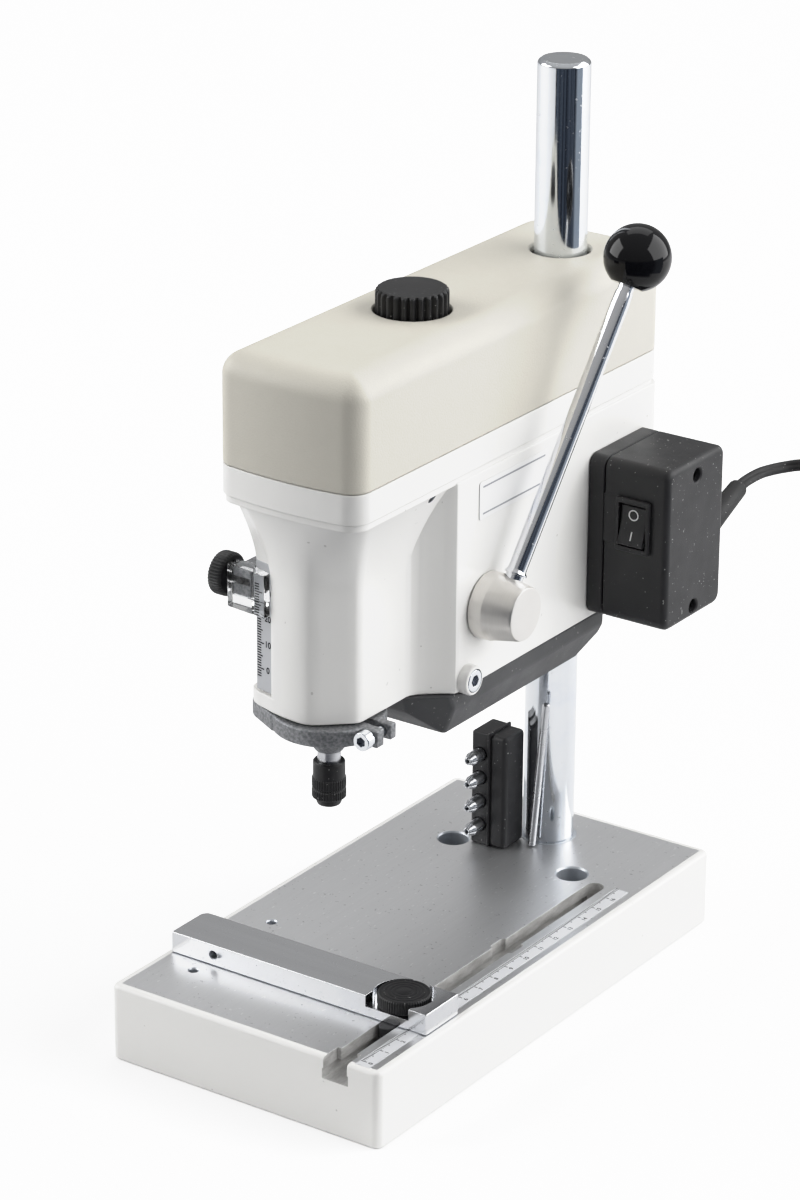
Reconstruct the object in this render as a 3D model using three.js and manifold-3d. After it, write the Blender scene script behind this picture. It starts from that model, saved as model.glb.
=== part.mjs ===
// A small precision bench drill press: a slotted base with a sliding fence, a round column, and a
// belt-driven head with a lever-fed quill, a depth stop, a switch box and a lift-off belt cover.
// Millimetres, +Z up, the operator stands on the -Y side. The origin is on the bench, in the middle
// of the base's footprint.
import * as THREE from "three";
import { mergeVertices } from "three/addons/utils/BufferGeometryUtils.js";
import { ConvexGeometry } from "three/addons/geometries/ConvexGeometry.js";
import Module from "manifold-3d";

const wasm = await Module();
wasm.setup();

// ---- Driving dimensions ----------------------------------------------------------------------
const GAP = 0.3; // between pieces that rest on one another
const RUN = 0.08; // radial running clearance

const BASE_WIDTH = 120;
const BASE_LENGTH = 225;
const TABLE_Z = 30.3;
const SLOT_X = 41;
const SLOT_END_Y = 58.7;

const COLUMN_R = 10;
const COLUMN_Y = 88.7;
const COLUMN_TOP = 344;

const HEAD_X = -4.6; // the head's centre line stands a little left of the column
const HEAD_HALF = 31;
const HEAD_FRONT = -81;
const HEAD_REAR = 121;
const HEAD_BOTTOM = 134;
const RIM_Z = 217.7; // lower edge of the band under the cover
const DECK_Z = 229; // parting line between housing and cover
const COVER_TOP = 271;
const CORNER_R = 7;
const WALL = 3;

const THROAT = 141.3; // column axis to spindle axis
const SPINDLE_Y = COLUMN_Y - THROAT;
const QUILL_R = 12.5;
const QUILL_LOW = 124;
const QUILL_TOP = 205;

const MOTOR_Y = 38;
const MOTOR_R = 22.5;

const FEED_Y = 1.8; // lever shaft axis
const FEED_Z = 163.2;
const GEAR_MODULE = 1.25;
const GEAR_TEETH = 64; // of the full circle the sector is cut from
const GEAR_R = (GEAR_MODULE * GEAR_TEETH) / 2;
const LEVER_LEAN = THREE.MathUtils.degToRad(28); // backwards from upright, at rest
const LEVER_SPLAY = THREE.MathUtils.degToRad(6.1); // outwards from the head
const LEVER_LENGTH = 136;
const BALL_R = 12.5;

const PULLEY_STEPS = [9.5, 13.6, 20.5]; // spindle pulley radii, bottom to top
const MOTOR_STEPS = [20.5, 16.4, 9.5];
const STEP_HEIGHT = 7;
const PULLEY_Z = 237;
const BELT_THICK = 3;

const KNOB_Y = -1.8;
const RAIL_LEFT = -27.6;
const RAIL_FRONT = -66.6;
const FOOT_TOP = 139.5;
const ROD_X = -31.5; // depth rod
const ROD_Y = -52;

const BOX_Y0 = 70;
const BOX_Y1 = 110.5;
const BOX_Z0 = 136.5;
const BOX_Z1 = 200.5;
const BOX_X1 = 61.5;
const BOX_SPLIT = 33.6;
const HEAD_RIGHT = HEAD_X + HEAD_HALF;
const CLAMP_Y = 111; // screw that pinches the head on its bush
const CLAMP_Z = 178;

// ---- Solids ----------------------------------------------------------------------------------
function solid(geometry) {
  const bare = geometry.clone();
  bare.deleteAttribute("normal");
  bare.deleteAttribute("uv");
  const merged = mergeVertices(bare, 1e-4);
  return new wasm.Manifold(
    new wasm.Mesh({
      numProp: 3,
      vertProperties: new Float32Array(merged.attributes.position.array),
      triVerts: new Uint32Array(merged.index.array),
    }),
  );
}

const join = (first, ...rest) => rest.reduce((a, b) => a.add(b), first);
const cut = (first, ...rest) => rest.reduce((a, b) => a.subtract(b), first);

function geometryOf(body) {
  const mesh = body.getMesh();
  const geometry = new THREE.BufferGeometry();
  const position = new THREE.BufferAttribute(new Float32Array(mesh.vertProperties), 3);
  geometry.setAttribute("position", position);
  geometry.setIndex(new THREE.BufferAttribute(new Uint32Array(mesh.triVerts), 1));
  geometry.computeVertexNormals();
  return geometry;
}

// A box between two corners.
function box(x0, y0, z0, x1, y1, z1) {
  const geometry = new THREE.BoxGeometry(x1 - x0, y1 - y0, z1 - z0);
  return solid(geometry.translate((x0 + x1) / 2, (y0 + y1) / 2, (z0 + z1) / 2));
}

// Turns a geometry made along +Z so that its axis is X, Y or Z.
function turnTo(axis, geometry) {
  if (axis === "x") geometry.rotateY(Math.PI / 2);
  if (axis === "y") geometry.rotateX(-Math.PI / 2);
  return geometry;
}

// A turned body: profile points are [radius, distance along the axis], closed on the axis.
function turned(profile, at, axis = "z", segments = 20) {
  const points = profile.map(([r, d]) => new THREE.Vector2(r, d));
  const geometry = new THREE.LatheGeometry(points, segments);
  geometry.rotateX(Math.PI / 2);
  turnTo(axis, geometry);
  return solid(geometry.translate(...at));
}

// A cylinder from at, running length along the axis.
function rod(r, length, at, axis = "z", segments = 16) {
  return turned([[0, 0], [r, 0], [r, length], [0, length]], at, axis, segments);
}

// A tube, open at both ends.
function tube(inner, outer, length, at, axis = "z", segments = 24) {
  const profile = [[inner, 0], [outer, 0], [outer, length], [inner, length], [inner, 0]];
  return turned(profile, at, axis, segments);
}

// A flat outline in XY, raised from z0 to z1.
function raised(shape, z0, z1, curveSegments = 3) {
  const geometry = new THREE.ExtrudeGeometry(shape, {
    depth: z1 - z0,
    bevelEnabled: false,
    curveSegments,
  });
  return solid(geometry.translate(0, 0, z0));
}

// An outline drawn in the YZ plane, raised along X from x0 to x1.
function raisedX(shape, x0, x1, curveSegments = 2) {
  const geometry = new THREE.ExtrudeGeometry(shape, {
    depth: x1 - x0,
    bevelEnabled: false,
    curveSegments,
  });
  const yzx = new THREE.Matrix4().set(0, 0, 1, x0, 1, 0, 0, 0, 0, 1, 0, 0, 0, 0, 0, 1);
  return solid(geometry.applyMatrix4(yzx));
}

function roundedRect(x0, y0, x1, y1, r) {
  const s = new THREE.Shape();
  s.moveTo(x0 + r, y0);
  s.lineTo(x1 - r, y0);
  s.absarc(x1 - r, y0 + r, r, -Math.PI / 2, 0);
  s.lineTo(x1, y1 - r);
  s.absarc(x1 - r, y1 - r, r, 0, Math.PI / 2);
  s.lineTo(x0 + r, y1);
  s.absarc(x0 + r, y1 - r, r, Math.PI / 2, Math.PI);
  s.lineTo(x0, y0 + r);
  s.absarc(x0 + r, y0 + r, r, Math.PI, 1.5 * Math.PI);
  return s;
}

function polygon(points) {
  return new THREE.Shape(points.map(([x, y]) => new THREE.Vector2(x, y)));
}

// A hexagonal prism along an axis; flats is the size across flats.
function hex(flats, length, at, axis = "z") {
  return rod(flats / Math.sqrt(3), length, at, axis, 6);
}

// A socket-head cap screw whose head's outer face is at the origin of "at", shank running along
// the axis.
function socketScrew({ head, headLength, shank, length, at, axis, flip = false }) {
  const bodyOf = (r, from, to) => [[0, from], [r, from], [r, to], [0, to]];
  const sign = flip ? -1 : 1;
  const along = (profile) => {
    const points = profile.map(([r, d]) => [r, sign * d]);
    return turned(flip ? points.reverse() : points, at, axis, 16);
  };
  const screw = join(
    along([[0, 0], [head - 0.4, 0], [head, 0.4], [head, headLength], [0, headLength]]),
    along(bodyOf(shank, headLength - 0.1, length)),
  );
  const socket = hex(head * 1.05, headLength * 0.65 + 1, [0, 0, 0], axis);
  const shift = { x: [1, 0, 0], y: [0, 1, 0], z: [0, 0, 1] }[axis];
  const start = flip ? -headLength * 0.65 : -1;
  return cut(screw, socket.translate(at.map((v, i) => v + shift[i] * start)));
}

// ---- The scene graph -------------------------------------------------------------------------
const COLOURS = {
  paint: [0xe9e8e4, 0.35, 0.0],
  steel: [0xc4c8cc, 0.25, 1.0],
  zinc: [0xcfd6dc, 0.22, 1.0],
  cover: [0xcfc8b6, 0.6, 0.0],
  black: [0x17181a, 0.5, 0.0],
  gloss: [0x08080a, 0.12, 0.0],
  dark: [0x46464a, 0.6, 0.0],
  cast: [0x8e8f91, 0.55, 0.6],
  alu: [0xc9c7c4, 0.4, 0.8],
  clear: [0xdfe6ea, 0.1, 0.0],
  strip: [0xdcdde0, 0.4, 0.1],
  rubber: [0x1c1c1e, 0.8, 0.0],
  copper: [0x9a6a48, 0.4, 0.9],
};
const machine = new THREE.Group();

function part(name, finish, body) {
  const [color, roughness, metalness] = COLOURS[finish];
  const material = new THREE.MeshStandardMaterial({ color, roughness, metalness });
  const mesh = new THREE.Mesh(geometryOf(body), material);
  mesh.name = name;
  machine.add(mesh);
}

// ---- Base, column and fence ------------------------------------------------------------------
function baseCasting() {
  const w = BASE_WIDTH / 2;
  const l = BASE_LENGTH / 2;
  const bevel = 1.4;
  const outer = join(
    raised(roundedRect(-w, -l, w, l, 3), 0, TABLE_Z - bevel, 3),
    chamferBand(w, l, 3, TABLE_Z - bevel, bevel),
  );
  const floor = 15; // underside of the top plate
  const rim = 7;
  const rib = 3;
  const pockets = [];
  for (const [x0, x1] of [[-w + rim, -rib], [rib, w - rim]])
    for (const [y0, y1] of [[-l + rim, -rib], [rib, 48]])
      pockets.push(box(x0, y0, -1, x1, y1, floor));
  const slotW = 3.3;
  const tee = box(SLOT_X - 5.6, -l - 1, 21.6, SLOT_X + 5.6, SLOT_END_Y, 25.6);
  const throat = box(SLOT_X - slotW, -l - 1, 21.6, SLOT_X + slotW, SLOT_END_Y, 40);
  const end = rod(slotW, 20, [SLOT_X, SLOT_END_Y, 21.6]);
  const mouth = box(SLOT_X - 5.2, -l - 1, 21.6, SLOT_X + 5.2, -103.7, 40);
  const entry = box(SLOT_X - 5, -7, 21.6, SLOT_X + 5, 2, 40);
  const bolts = [-27.6, 27.6].map((x) => rod(6, 40, [x, 63.2, -1]));
  const taps = [-86, -37.5].map((y) => rod(1.9, 12, [-42, y, TABLE_Z - 10], "z", 16));
  const seat = rod(COLUMN_R + 0.05, 40, [0, COLUMN_Y, 8], "z", 36);
  const screwHole = rod(9, 6.5, [0, COLUMN_Y, -1]);
  const shankHole = rod(4.4, 20, [0, COLUMN_Y, -1]);
  return cut(
    outer, ...pockets, tee, throat, end, mouth, entry, ...bolts, ...taps, seat, screwHole, shankHole,
  );
}

// The chamfered band that closes the top of a rounded block.
function chamferBand(w, l, r, z, height) {
  const ring = (inset, level) =>
    roundedRect(-w + inset, -l + inset, w - inset, l - inset, r)
      .getPoints(3)
      .map((p) => new THREE.Vector3(p.x, p.y, level));
  return solid(new ConvexGeometry([...ring(0, z), ...ring(height, z + height)]));
}

function column() {
  const chamfer = 1.2;
  const low = 8.2;
  const profile = [
    [0, low],
    [COLUMN_R - 1, low],
    [COLUMN_R, low + 1],
    [COLUMN_R, COLUMN_TOP - chamfer],
    [COLUMN_R - chamfer, COLUMN_TOP],
    [0, COLUMN_TOP],
  ];
  return cut(turned(profile, [0, COLUMN_Y, 0], "z", 36), rod(4.3, 24, [0, COLUMN_Y, 7]));
}

function columnScrew() {
  const at = [0, COLUMN_Y, 0.4];
  return socketScrew({ head: 7, headLength: 4.8, shank: 4, length: 27, at, axis: "z" });
}

const FENCE = { x0: -57.5, x1: 57, y0: -79, y1: -58.5, z0: TABLE_Z + 0.1, z1: 38.8, floor: 34.3 };
const FENCE_KNOB_Y = -69.5;

function fence() {
  const f = FENCE;
  const bar = raised(roundedRect(f.x0, f.y0, f.x1, f.y1, 1), f.z0, f.z1, 2);
  const channel = box(31, f.y0 - 1, f.floor, 50.2, f.y1 + 1, 50);
  const scallop = rod(11.4, 20, [SLOT_X, FENCE_KNOB_Y, f.floor]);
  const hole = rod(3.2, 20, [SLOT_X, FENCE_KNOB_Y, 20]);
  const tap = rod(1.9, 12, [-38.2, f.y0 - 1, 34.6], "y", 16);
  return cut(join(bar, fenceTongue()), channel, scallop, hole, tap);
}

// The tongue under the fence runs in the slot and keeps the fence square. Its nose is round.
function fenceTongue() {
  const half = 3;
  const low = 26.6;
  const nose = FENCE.y0 - 1.5;
  const blade = box(SLOT_X - half, nose, low, SLOT_X + half, -62, FENCE.z0 + 0.5);
  const tip = rod(half, FENCE.z0 + 0.5 - low, [SLOT_X, nose, low], "z", 24);
  const clear = box(SLOT_X - 5, nose - 5, FENCE.z0 + 0.1, SLOT_X + 5, FENCE.y0, FENCE.z0 + 2);
  return cut(join(blade, tip), clear);
}

function fenceBolt() {
  const head = box(SLOT_X - 5, FENCE_KNOB_Y - 5, 22, SLOT_X + 5, FENCE_KNOB_Y + 5, 25);
  return join(head, rod(2.9, 14, [SLOT_X, FENCE_KNOB_Y, 24]));
}

// A round knob with grip flutes cut into its rim.
function flutedKnob({ r, flutes, depth, profile, at, axis = "z", from, to }) {
  const body = turned(profile, at, axis, flutes * 2);
  const cutters = [];
  for (let i = 0; i < flutes; i += 1) {
    const a = (2 * Math.PI * i) / flutes;
    const c = r * Math.cos(a);
    const s = r * Math.sin(a);
    const place = { z: [c, s, from], x: [from, c, s], y: [c, from, s] }[axis];
    cutters.push(rod(depth, to - from, place.map((v, k) => v + at[k]), axis, 4));
  }
  return cut(body, ...cutters);
}

function fenceKnob() {
  const low = FENCE.floor + GAP;
  const r = 10;
  const profile = [[3.1, low], [r, low], [r, 38.9], [r - 0.6, 39.5], [3.1, 39.5], [3.1, low]];
  const at = [SLOT_X, FENCE_KNOB_Y, 0];
  return flutedKnob({ r: r + 0.1, flutes: 16, depth: 0.8, profile, at, from: low - 1, to: 41 });
}

// ---- Loose accessories at the foot of the column ---------------------------------------------
const CASE = { x0: -20.5, x1: -4.8, y0: 64.5, y1: 79, z1: 78 };
const COLLETS = [39, 49, 59, 69];

function colletCase() {
  const c = CASE;
  const block = raised(roundedRect(c.x0, c.y0, c.x1, c.y1, 2), TABLE_Z + 0.1, c.z1, 3);
  const holes = COLLETS.map((z) => rod(3, 9.5, [-16.4, c.y0 - 1, z], "y", 16));
  const seam = cut(
    box(c.x1 - 7, c.y0 - 1, TABLE_Z - 1, c.x1 - 6.4, c.y1 + 1, c.z1 + 1),
    box(c.x1 - 8, c.y0 + 0.5, TABLE_Z, c.x1 - 6, c.y1 - 0.5, c.z1 - 0.5),
  );
  return cut(block, ...holes, seam);
}

function spareCollet(z) {
  const y0 = CASE.y0 - 9;
  const profile = [[0.9, 0], [1.6, 0], [2.7, 2.6], [2.7, 16.5], [0.9, 16.5], [0.9, 0]];
  return turned(profile, [-16.4, y0, z], "y", 16);
}

function tommyBar() {
  const length = 62;
  const bar = new THREE.CylinderGeometry(1.5, 1.5, length, 16);
  bar.rotateX(Math.PI / 2);
  bar.translate(0, 0, length / 2);
  bar.rotateY(THREE.MathUtils.degToRad(5));
  return solid(bar.translate(1.6, 74.6, TABLE_Z + 0.5));
}

// ---- Head outlines ---------------------------------------------------------------------------
// The head seen from above, inset all round, from its front to yRear.
function headOutline(inset = 0, yRear = HEAD_REAR) {
  const x0 = HEAD_X - HEAD_HALF + inset;
  const x1 = HEAD_X + HEAD_HALF - inset;
  const bow = 1.5;
  const y0 = HEAD_FRONT + bow + inset;
  const y1 = yRear - inset;
  const r = Math.max(CORNER_R - inset, 1);
  const s = new THREE.Shape();
  s.moveTo(x0 + r, y0);
  s.quadraticCurveTo(HEAD_X, y0 - 2 * bow, x1 - r, y0);
  s.absarc(x1 - r, y0 + r, r, -Math.PI / 2, 0);
  s.lineTo(x1, y1 - r);
  s.absarc(x1 - r, y1 - r, r, 0, Math.PI / 2);
  s.lineTo(x0 + r, y1);
  s.absarc(x0 + r, y1 - r, r, Math.PI / 2, Math.PI);
  s.lineTo(x0, y0 + r);
  s.absarc(x0 + r, y0 + r, r, Math.PI, 1.5 * Math.PI);
  return s;
}

const NOSE_HALF = 17.8;
const NOSE_FRONT = -71;
const NECK_Y = -16.6; // where the side panels begin

// The nose seen from above: a flat front with a wide facet on each side.
function noseOutline(yRear) {
  const s = new THREE.Shape();
  s.moveTo(HEAD_X - NOSE_HALF, yRear);
  s.lineTo(HEAD_X - NOSE_HALF, -60);
  s.quadraticCurveTo(HEAD_X - NOSE_HALF, -66, HEAD_X - 6, NOSE_FRONT);
  s.lineTo(HEAD_X + 6, NOSE_FRONT);
  s.quadraticCurveTo(HEAD_X + NOSE_HALF - 3, -67, HEAD_X + NOSE_HALF, -58.2);
  s.lineTo(HEAD_X + NOSE_HALF, yRear);
  return s;
}

// The side panels and the curved necks that run from them to the nose.
function bodyOutline() {
  const s = new THREE.Shape();
  const x0 = HEAD_X - HEAD_HALF;
  const x1 = HEAD_X + HEAD_HALF;
  const r = CORNER_R;
  s.moveTo(HEAD_X - NOSE_HALF, -31);
  s.quadraticCurveTo(HEAD_X - NOSE_HALF - 1, -19, x0, NECK_Y);
  s.lineTo(x0, HEAD_REAR - r);
  s.absarc(x0 + r, HEAD_REAR - r, r, Math.PI, Math.PI / 2, true);
  s.lineTo(x1 - r, HEAD_REAR);
  s.absarc(x1 - r, HEAD_REAR - r, r, Math.PI / 2, 0, true);
  s.lineTo(x1, NECK_Y);
  s.quadraticCurveTo(HEAD_X + NOSE_HALF + 1, -19, HEAD_X + NOSE_HALF, -31);
  return s;
}

// The convex body that widens from the nose to the band under the cover.
function flare() {
  const level = (shape, z, yMax) =>
    shape
      .getPoints(4)
      .filter((p) => p.y <= yMax)
      .map((p) => new THREE.Vector3(p.x, p.y, z));
  const nose = level(noseOutline(-30), 193, 0);
  const swell = level(headOutline(1.4, NECK_Y + 12), RIM_Z + 0.5, 0);
  return solid(new ConvexGeometry([...nose, ...swell]));
}

// ---- Head housing ----------------------------------------------------------------------------
function housing() {
  const shell = join(
    raised(headOutline(), RIM_Z, DECK_Z),
    raised(bodyOutline(), HEAD_BOTTOM, RIM_Z - 2),
    raised(headOutline(0.8), RIM_Z - 2.2, RIM_Z + 0.2),
    raised(noseOutline(-30), HEAD_BOTTOM, RIM_Z),
    flare(),
    rail(),
    rod(5.7, 10, [HEAD_RIGHT - 6, -10.5, 138], "x", 24),
    rod(5.7, 10, [HEAD_X - HEAD_HALF - 4, -10.5, 138], "x", 24),
    rod(6, 29, [HEAD_X, KNOB_Y, DECK_Z - 0.5]),
  );
  const inner = HEAD_HALF - WALL;
  const cavity = raised(
    roundedRect(HEAD_X - inner, -33, HEAD_X + inner, 66, 4), HEAD_BOTTOM - 1, 222, 3,
  );
  const pinchedSides = [-1, 1].map((side) => {
    const x = HEAD_X + side * (NOSE_HALF - WALL);
    const far = HEAD_X + side * 60;
    return box(Math.min(x, far), -34, HEAD_BOTTOM - 2, Math.max(x, far), -12, 230);
  });
  const hollow = cut(cavity, ...pinchedSides);
  const rearPocket = cut(
    raised(
      roundedRect(HEAD_X - inner, 106, HEAD_X + inner, HEAD_REAR - WALL, 3), HEAD_BOTTOM - 1, 222,
    ),
    box(-10, 100, CLAMP_Z - 9, 10, CLAMP_Y + 5.5, CLAMP_Z + 9),
  );
  return cut(
    shell,
    hollow,
    rearPocket,
    rod(QUILL_R + RUN, 76, [HEAD_X, SPINDLE_Y, HEAD_BOTTOM - 1], "z", 36),
    rod(9, 30, [HEAD_X, SPINDLE_Y, 205], "z", 32),
    rod(13.3, 12, [HEAD_X, SPINDLE_Y, 213], "z", 32),
    box(HEAD_X - 3.6, SPINDLE_Y + 8, HEAD_BOTTOM - 1, HEAD_X + 3.6, -32, 222),
    rod(14 + RUN, 120, [0, COLUMN_Y, HEAD_BOTTOM - 1], "z", 36),
    rod(8, 20, [HEAD_X, MOTOR_Y, 215]),
    rod(7.5, 80, [HEAD_X - 40, FEED_Y, FEED_Z], "x"),
    rod(3.4, 24, [HEAD_X, KNOB_Y, 240], "z", 16),
    rod(3.4, 30, [ROD_X, ROD_Y, 178], "z", 16),
    rod(1.9, 12, [HEAD_RIGHT - 12, -28, 213], "x", 16),
    rod(4.6, 4.5, [HEAD_RIGHT + 0.2, -10.5, 138], "x", 24),
    rod(4.6, 4.5, [HEAD_X - HEAD_HALF - 4.6, -10.5, 138], "x", 24),
    rod(2.8, 80, [HEAD_X - 40, -10.5, 138], "x", 16),
    rod(4, 8, [HEAD_X - 34, CLAMP_Y, CLAMP_Z], "x", 16),
    rod(3.2, 30, [-20, CLAMP_Y, CLAMP_Z], "x", 16),
    box(-0.8, 100, HEAD_BOTTOM - 1, 0.8, CLAMP_Y + 7, 222),
  );
}

// The flat strip beside the nose that carries the depth scale, with a landing foot below it.
function rail() {
  const plan = polygon([
    [RAIL_LEFT, RAIL_FRONT + 2.2],
    [HEAD_X - 12, RAIL_FRONT - 1.2],
    [HEAD_X - 10, -50],
    [RAIL_LEFT + 3, -50],
    [RAIL_LEFT, -58],
  ]);
  const foot = polygon([
    [-31.5, -62.5],
    [-28.5, -66.2],
    [HEAD_X - 10, -70.4],
    [HEAD_X - 10, -56],
    [-31.5, -57],
  ]);
  const brow = polygon([
    [-30, -64.2],
    [HEAD_X - 10, -69.6],
    [HEAD_X - 10, -56],
    [-29, -56],
  ]);
  return join(
    raised(plan, HEAD_BOTTOM, 205), raised(foot, HEAD_BOTTOM, FOOT_TOP), raised(brow, 190.5, 206),
  );
}

function depthScale() {
  const dx = HEAD_X - 12 - RAIL_LEFT;
  const dy = -3.4;
  const length = Math.hypot(dx, dy);
  const n = [dy / length, -dx / length];
  const at = (t, off) => [RAIL_LEFT + t * dx + n[0] * off, RAIL_FRONT + 2.2 + t * dy + n[1] * off];
  return raised(polygon([at(0.02, 0.1), at(0.8, 0.1), at(0.8, 0.5), at(0.02, 0.5)]), 140.2, 190);
}

function motorCasing() {
  const top = HEAD_BOTTOM - GAP;
  const mid = 127.5;
  const low = 115;
  const ring = (half, y0, y1, z) => [
    new THREE.Vector3(HEAD_X - half, y0, z),
    new THREE.Vector3(HEAD_X + half, y0, z),
    new THREE.Vector3(HEAD_X + half, y1, z),
    new THREE.Vector3(HEAD_X - half, y1, z),
  ];
  const tray = (wall) => [
    ...ring(NOSE_HALF - wall, -31 + wall, 84 - wall, top),
    ...ring(30.4 - wall, -19 + wall, 84 - wall, top),
    ...ring(30.2 - wall, -16.5 + wall, 83 - wall, mid),
    ...ring(24 - wall, -13.5 + wall, 75 - wall, low + wall),
  ];
  const skin = solid(new ConvexGeometry(tray(0)));
  const hollow = solid(new ConvexGeometry(tray(2.4)));
  const lip = box(HEAD_X - 27, -24, top - 2.6, HEAD_X + 27, 66, top + 1);
  return cut(
    skin,
    hollow.intersect(box(-60, -40, 0, 60, 66, 200)),
    lip.intersect(hollow.translate([0, 0, 2.6])),
    rod(15.5, 60, [0, COLUMN_Y, 100], "z", 32),
    ...[-1, 1].map((side) => rod(6.2, 16, [HEAD_X + side * 31 - 8, -10.5, 138], "x", 24)),
  );
}

function casingScrew(side) {
  const at = [HEAD_X + side * (HEAD_HALF + 4.1), -10.5, 138];
  return socketScrew({
    head: 4.2, headLength: 3.6, shank: 2.5, length: 11, at, axis: "x", flip: side > 0,
  });
}

function headClampScrew() {
  const at = [-14.8, CLAMP_Y, CLAMP_Z];
  return socketScrew({ head: 4, headLength: 4.5, shank: 3, length: 23, at, axis: "x" });
}

function columnBush() {
  const bush = tube(COLUMN_R + RUN, 14, 80, [0, COLUMN_Y, 140], "z", 36);
  return cut(bush, box(-0.8, COLUMN_Y, 130, 0.8, COLUMN_Y + 20, 230));
}

// ---- Belt cover ------------------------------------------------------------------------------
function coverShell(inset, top, edge) {
  const body = new THREE.ExtrudeGeometry(headOutline(inset + edge), {
    depth: top - 2 * edge - 200,
    bevelThickness: edge,
    bevelSize: edge,
    bevelSegments: 3,
    curveSegments: 3,
  });
  return solid(body.translate(0, 0, 200 + edge));
}

function beltCover() {
  const cup = rod(17, 10, [HEAD_X, KNOB_Y, 261], "z", 32);
  const outer = coverShell(0, COVER_TOP, 6);
  const shell = cut(outer, coverShell(2.6, COVER_TOP - 2.6, 4));
  const below = box(-60, -120, 190, 60, 140, DECK_Z + 0.2);
  return cut(
    join(shell, cup.intersect(outer)),
    below,
    rod(14.6, 20, [HEAD_X, KNOB_Y, 263.2], "z", 32),
    rod(3.8, 40, [HEAD_X, KNOB_Y, 250], "z", 16),
    rod(11.4, 60, [0, COLUMN_Y, 240], "z", 36),
  );
}

function coverKnob() {
  const r = 13.4;
  const z0 = 264.4;
  const z1 = 279.2;
  const at = [HEAD_X, KNOB_Y, 0];
  const profile = [
    [3.1, z0], [r - 1, z0], [r, z0 + 1], [r, z1 - 0.9], [r - 0.9, z1], [0, z1], [0, z0 + 6],
    [3.1, z0 + 6], [3.1, z0],
  ];
  return flutedKnob({ r: r + 0.5, flutes: 18, depth: 1.4, profile, at, from: z0 - 1, to: z1 + 1 });
}

function coverStud() {
  return rod(3, 28, [HEAD_X, KNOB_Y, 242], "z", 16);
}

// ---- Drive -----------------------------------------------------------------------------------
function pulley(steps, bore, y, sleeve) {
  const points = [[bore, PULLEY_Z]];
  steps.forEach((r, i) => {
    const z = PULLEY_Z + i * STEP_HEIGHT;
    points.push([r, z], [r, z + STEP_HEIGHT]);
  });
  const top = PULLEY_Z + steps.length * STEP_HEIGHT + 1;
  points.push([steps.at(-1), top], [bore, top]);
  points.push([bore, PULLEY_Z]);
  const wheel = turned(points, [HEAD_X, y, 0], "z", 24);
  return sleeve ? join(wheel, sleeve) : wheel;
}

const HEX_FLATS = 7;

function spindlePulley() {
  const sleeve = rod(8, 41, [HEAD_X, SPINDLE_Y, 210]);
  const core = rod(9, 21, [HEAD_X, SPINDLE_Y, PULLEY_Z + 0.5]);
  const wheel = join(pulley(PULLEY_STEPS, 6, SPINDLE_Y, sleeve), core);
  return cut(wheel, hex(HEX_FLATS + 0.3, 80, [HEAD_X, SPINDLE_Y, 200]));
}

function motorPulley() {
  return pulley(MOTOR_STEPS, 3.1, MOTOR_Y);
}

function pulleyBearing() {
  return tube(8.1, 13, 7, [HEAD_X, SPINDLE_Y, 214.2]);
}

// A flat belt loop around the middle steps of both pulleys.
function belt() {
  const z = PULLEY_Z + STEP_HEIGHT + 1.5;
  const loop = (extra) => {
    const front = PULLEY_STEPS[1] + GAP + extra;
    const back = MOTOR_STEPS[1] + GAP + extra;
    const tilt = Math.asin((back - front) / (MOTOR_Y - SPINDLE_Y));
    const s = new THREE.Shape();
    s.absarc(HEAD_X, SPINDLE_Y, front, Math.PI + tilt, 2 * Math.PI - tilt);
    s.absarc(HEAD_X, MOTOR_Y, back, -tilt, Math.PI + tilt);
    return s;
  };
  return cut(raised(loop(BELT_THICK), z, z + 4.6, 12), raised(loop(0), z - 1, z + 6, 12));
}

function motorCan() {
  const at = [HEAD_X, MOTOR_Y, 0];
  const profile = [
    [0, 122], [15, 122], [16, 123], [16, 139], [21.5, 140], [MOTOR_R, 141], [MOTOR_R, 221],
    [MOTOR_R - 0.7, 221.7], [0, 221.7],
  ];
  const inside = turned([[0, 143], [19, 143], [19, 216], [0, 216]], at);
  return cut(turned(profile, at, "z", 24), inside, rod(4.2, 20, [HEAD_X, MOTOR_Y, 210], "z", 16));
}

function motorRotor() {
  const at = [HEAD_X, MOTOR_Y, 0];
  return turned(
    [[0, 145], [3, 145], [3, 156], [14, 156], [14, 202], [3, 202], [3, 262], [0, 262]], at,
  );
}

// ---- Quill and spindle -----------------------------------------------------------------------
const quillAt = [HEAD_X, SPINDLE_Y, 0];

function quill() {
  const profile = [
    [7, QUILL_LOW + 8], [9.5, QUILL_LOW + 8], [9.5, QUILL_LOW], [QUILL_R - 0.5, QUILL_LOW],
    [QUILL_R, QUILL_LOW + 0.5], [QUILL_R, QUILL_TOP - 0.5], [QUILL_R - 0.5, QUILL_TOP],
    [9.5, QUILL_TOP], [9.5, QUILL_TOP - 8], [7, QUILL_TOP - 8], [7, QUILL_LOW + 8],
  ];
  const flat = box(HEAD_X - 3.3, SPINDLE_Y + 10.4, 135, HEAD_X + 3.3, SPINDLE_Y + 20, 210);
  return cut(turned(profile, quillAt, "z", 36), flat);
}

const RACK_LINE = FEED_Y - GEAR_R; // pitch line of the rack
const PITCH = Math.PI * GEAR_MODULE;
const PRESSURE = THREE.MathUtils.degToRad(20);
const BACKLASH = 0.2;

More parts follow.
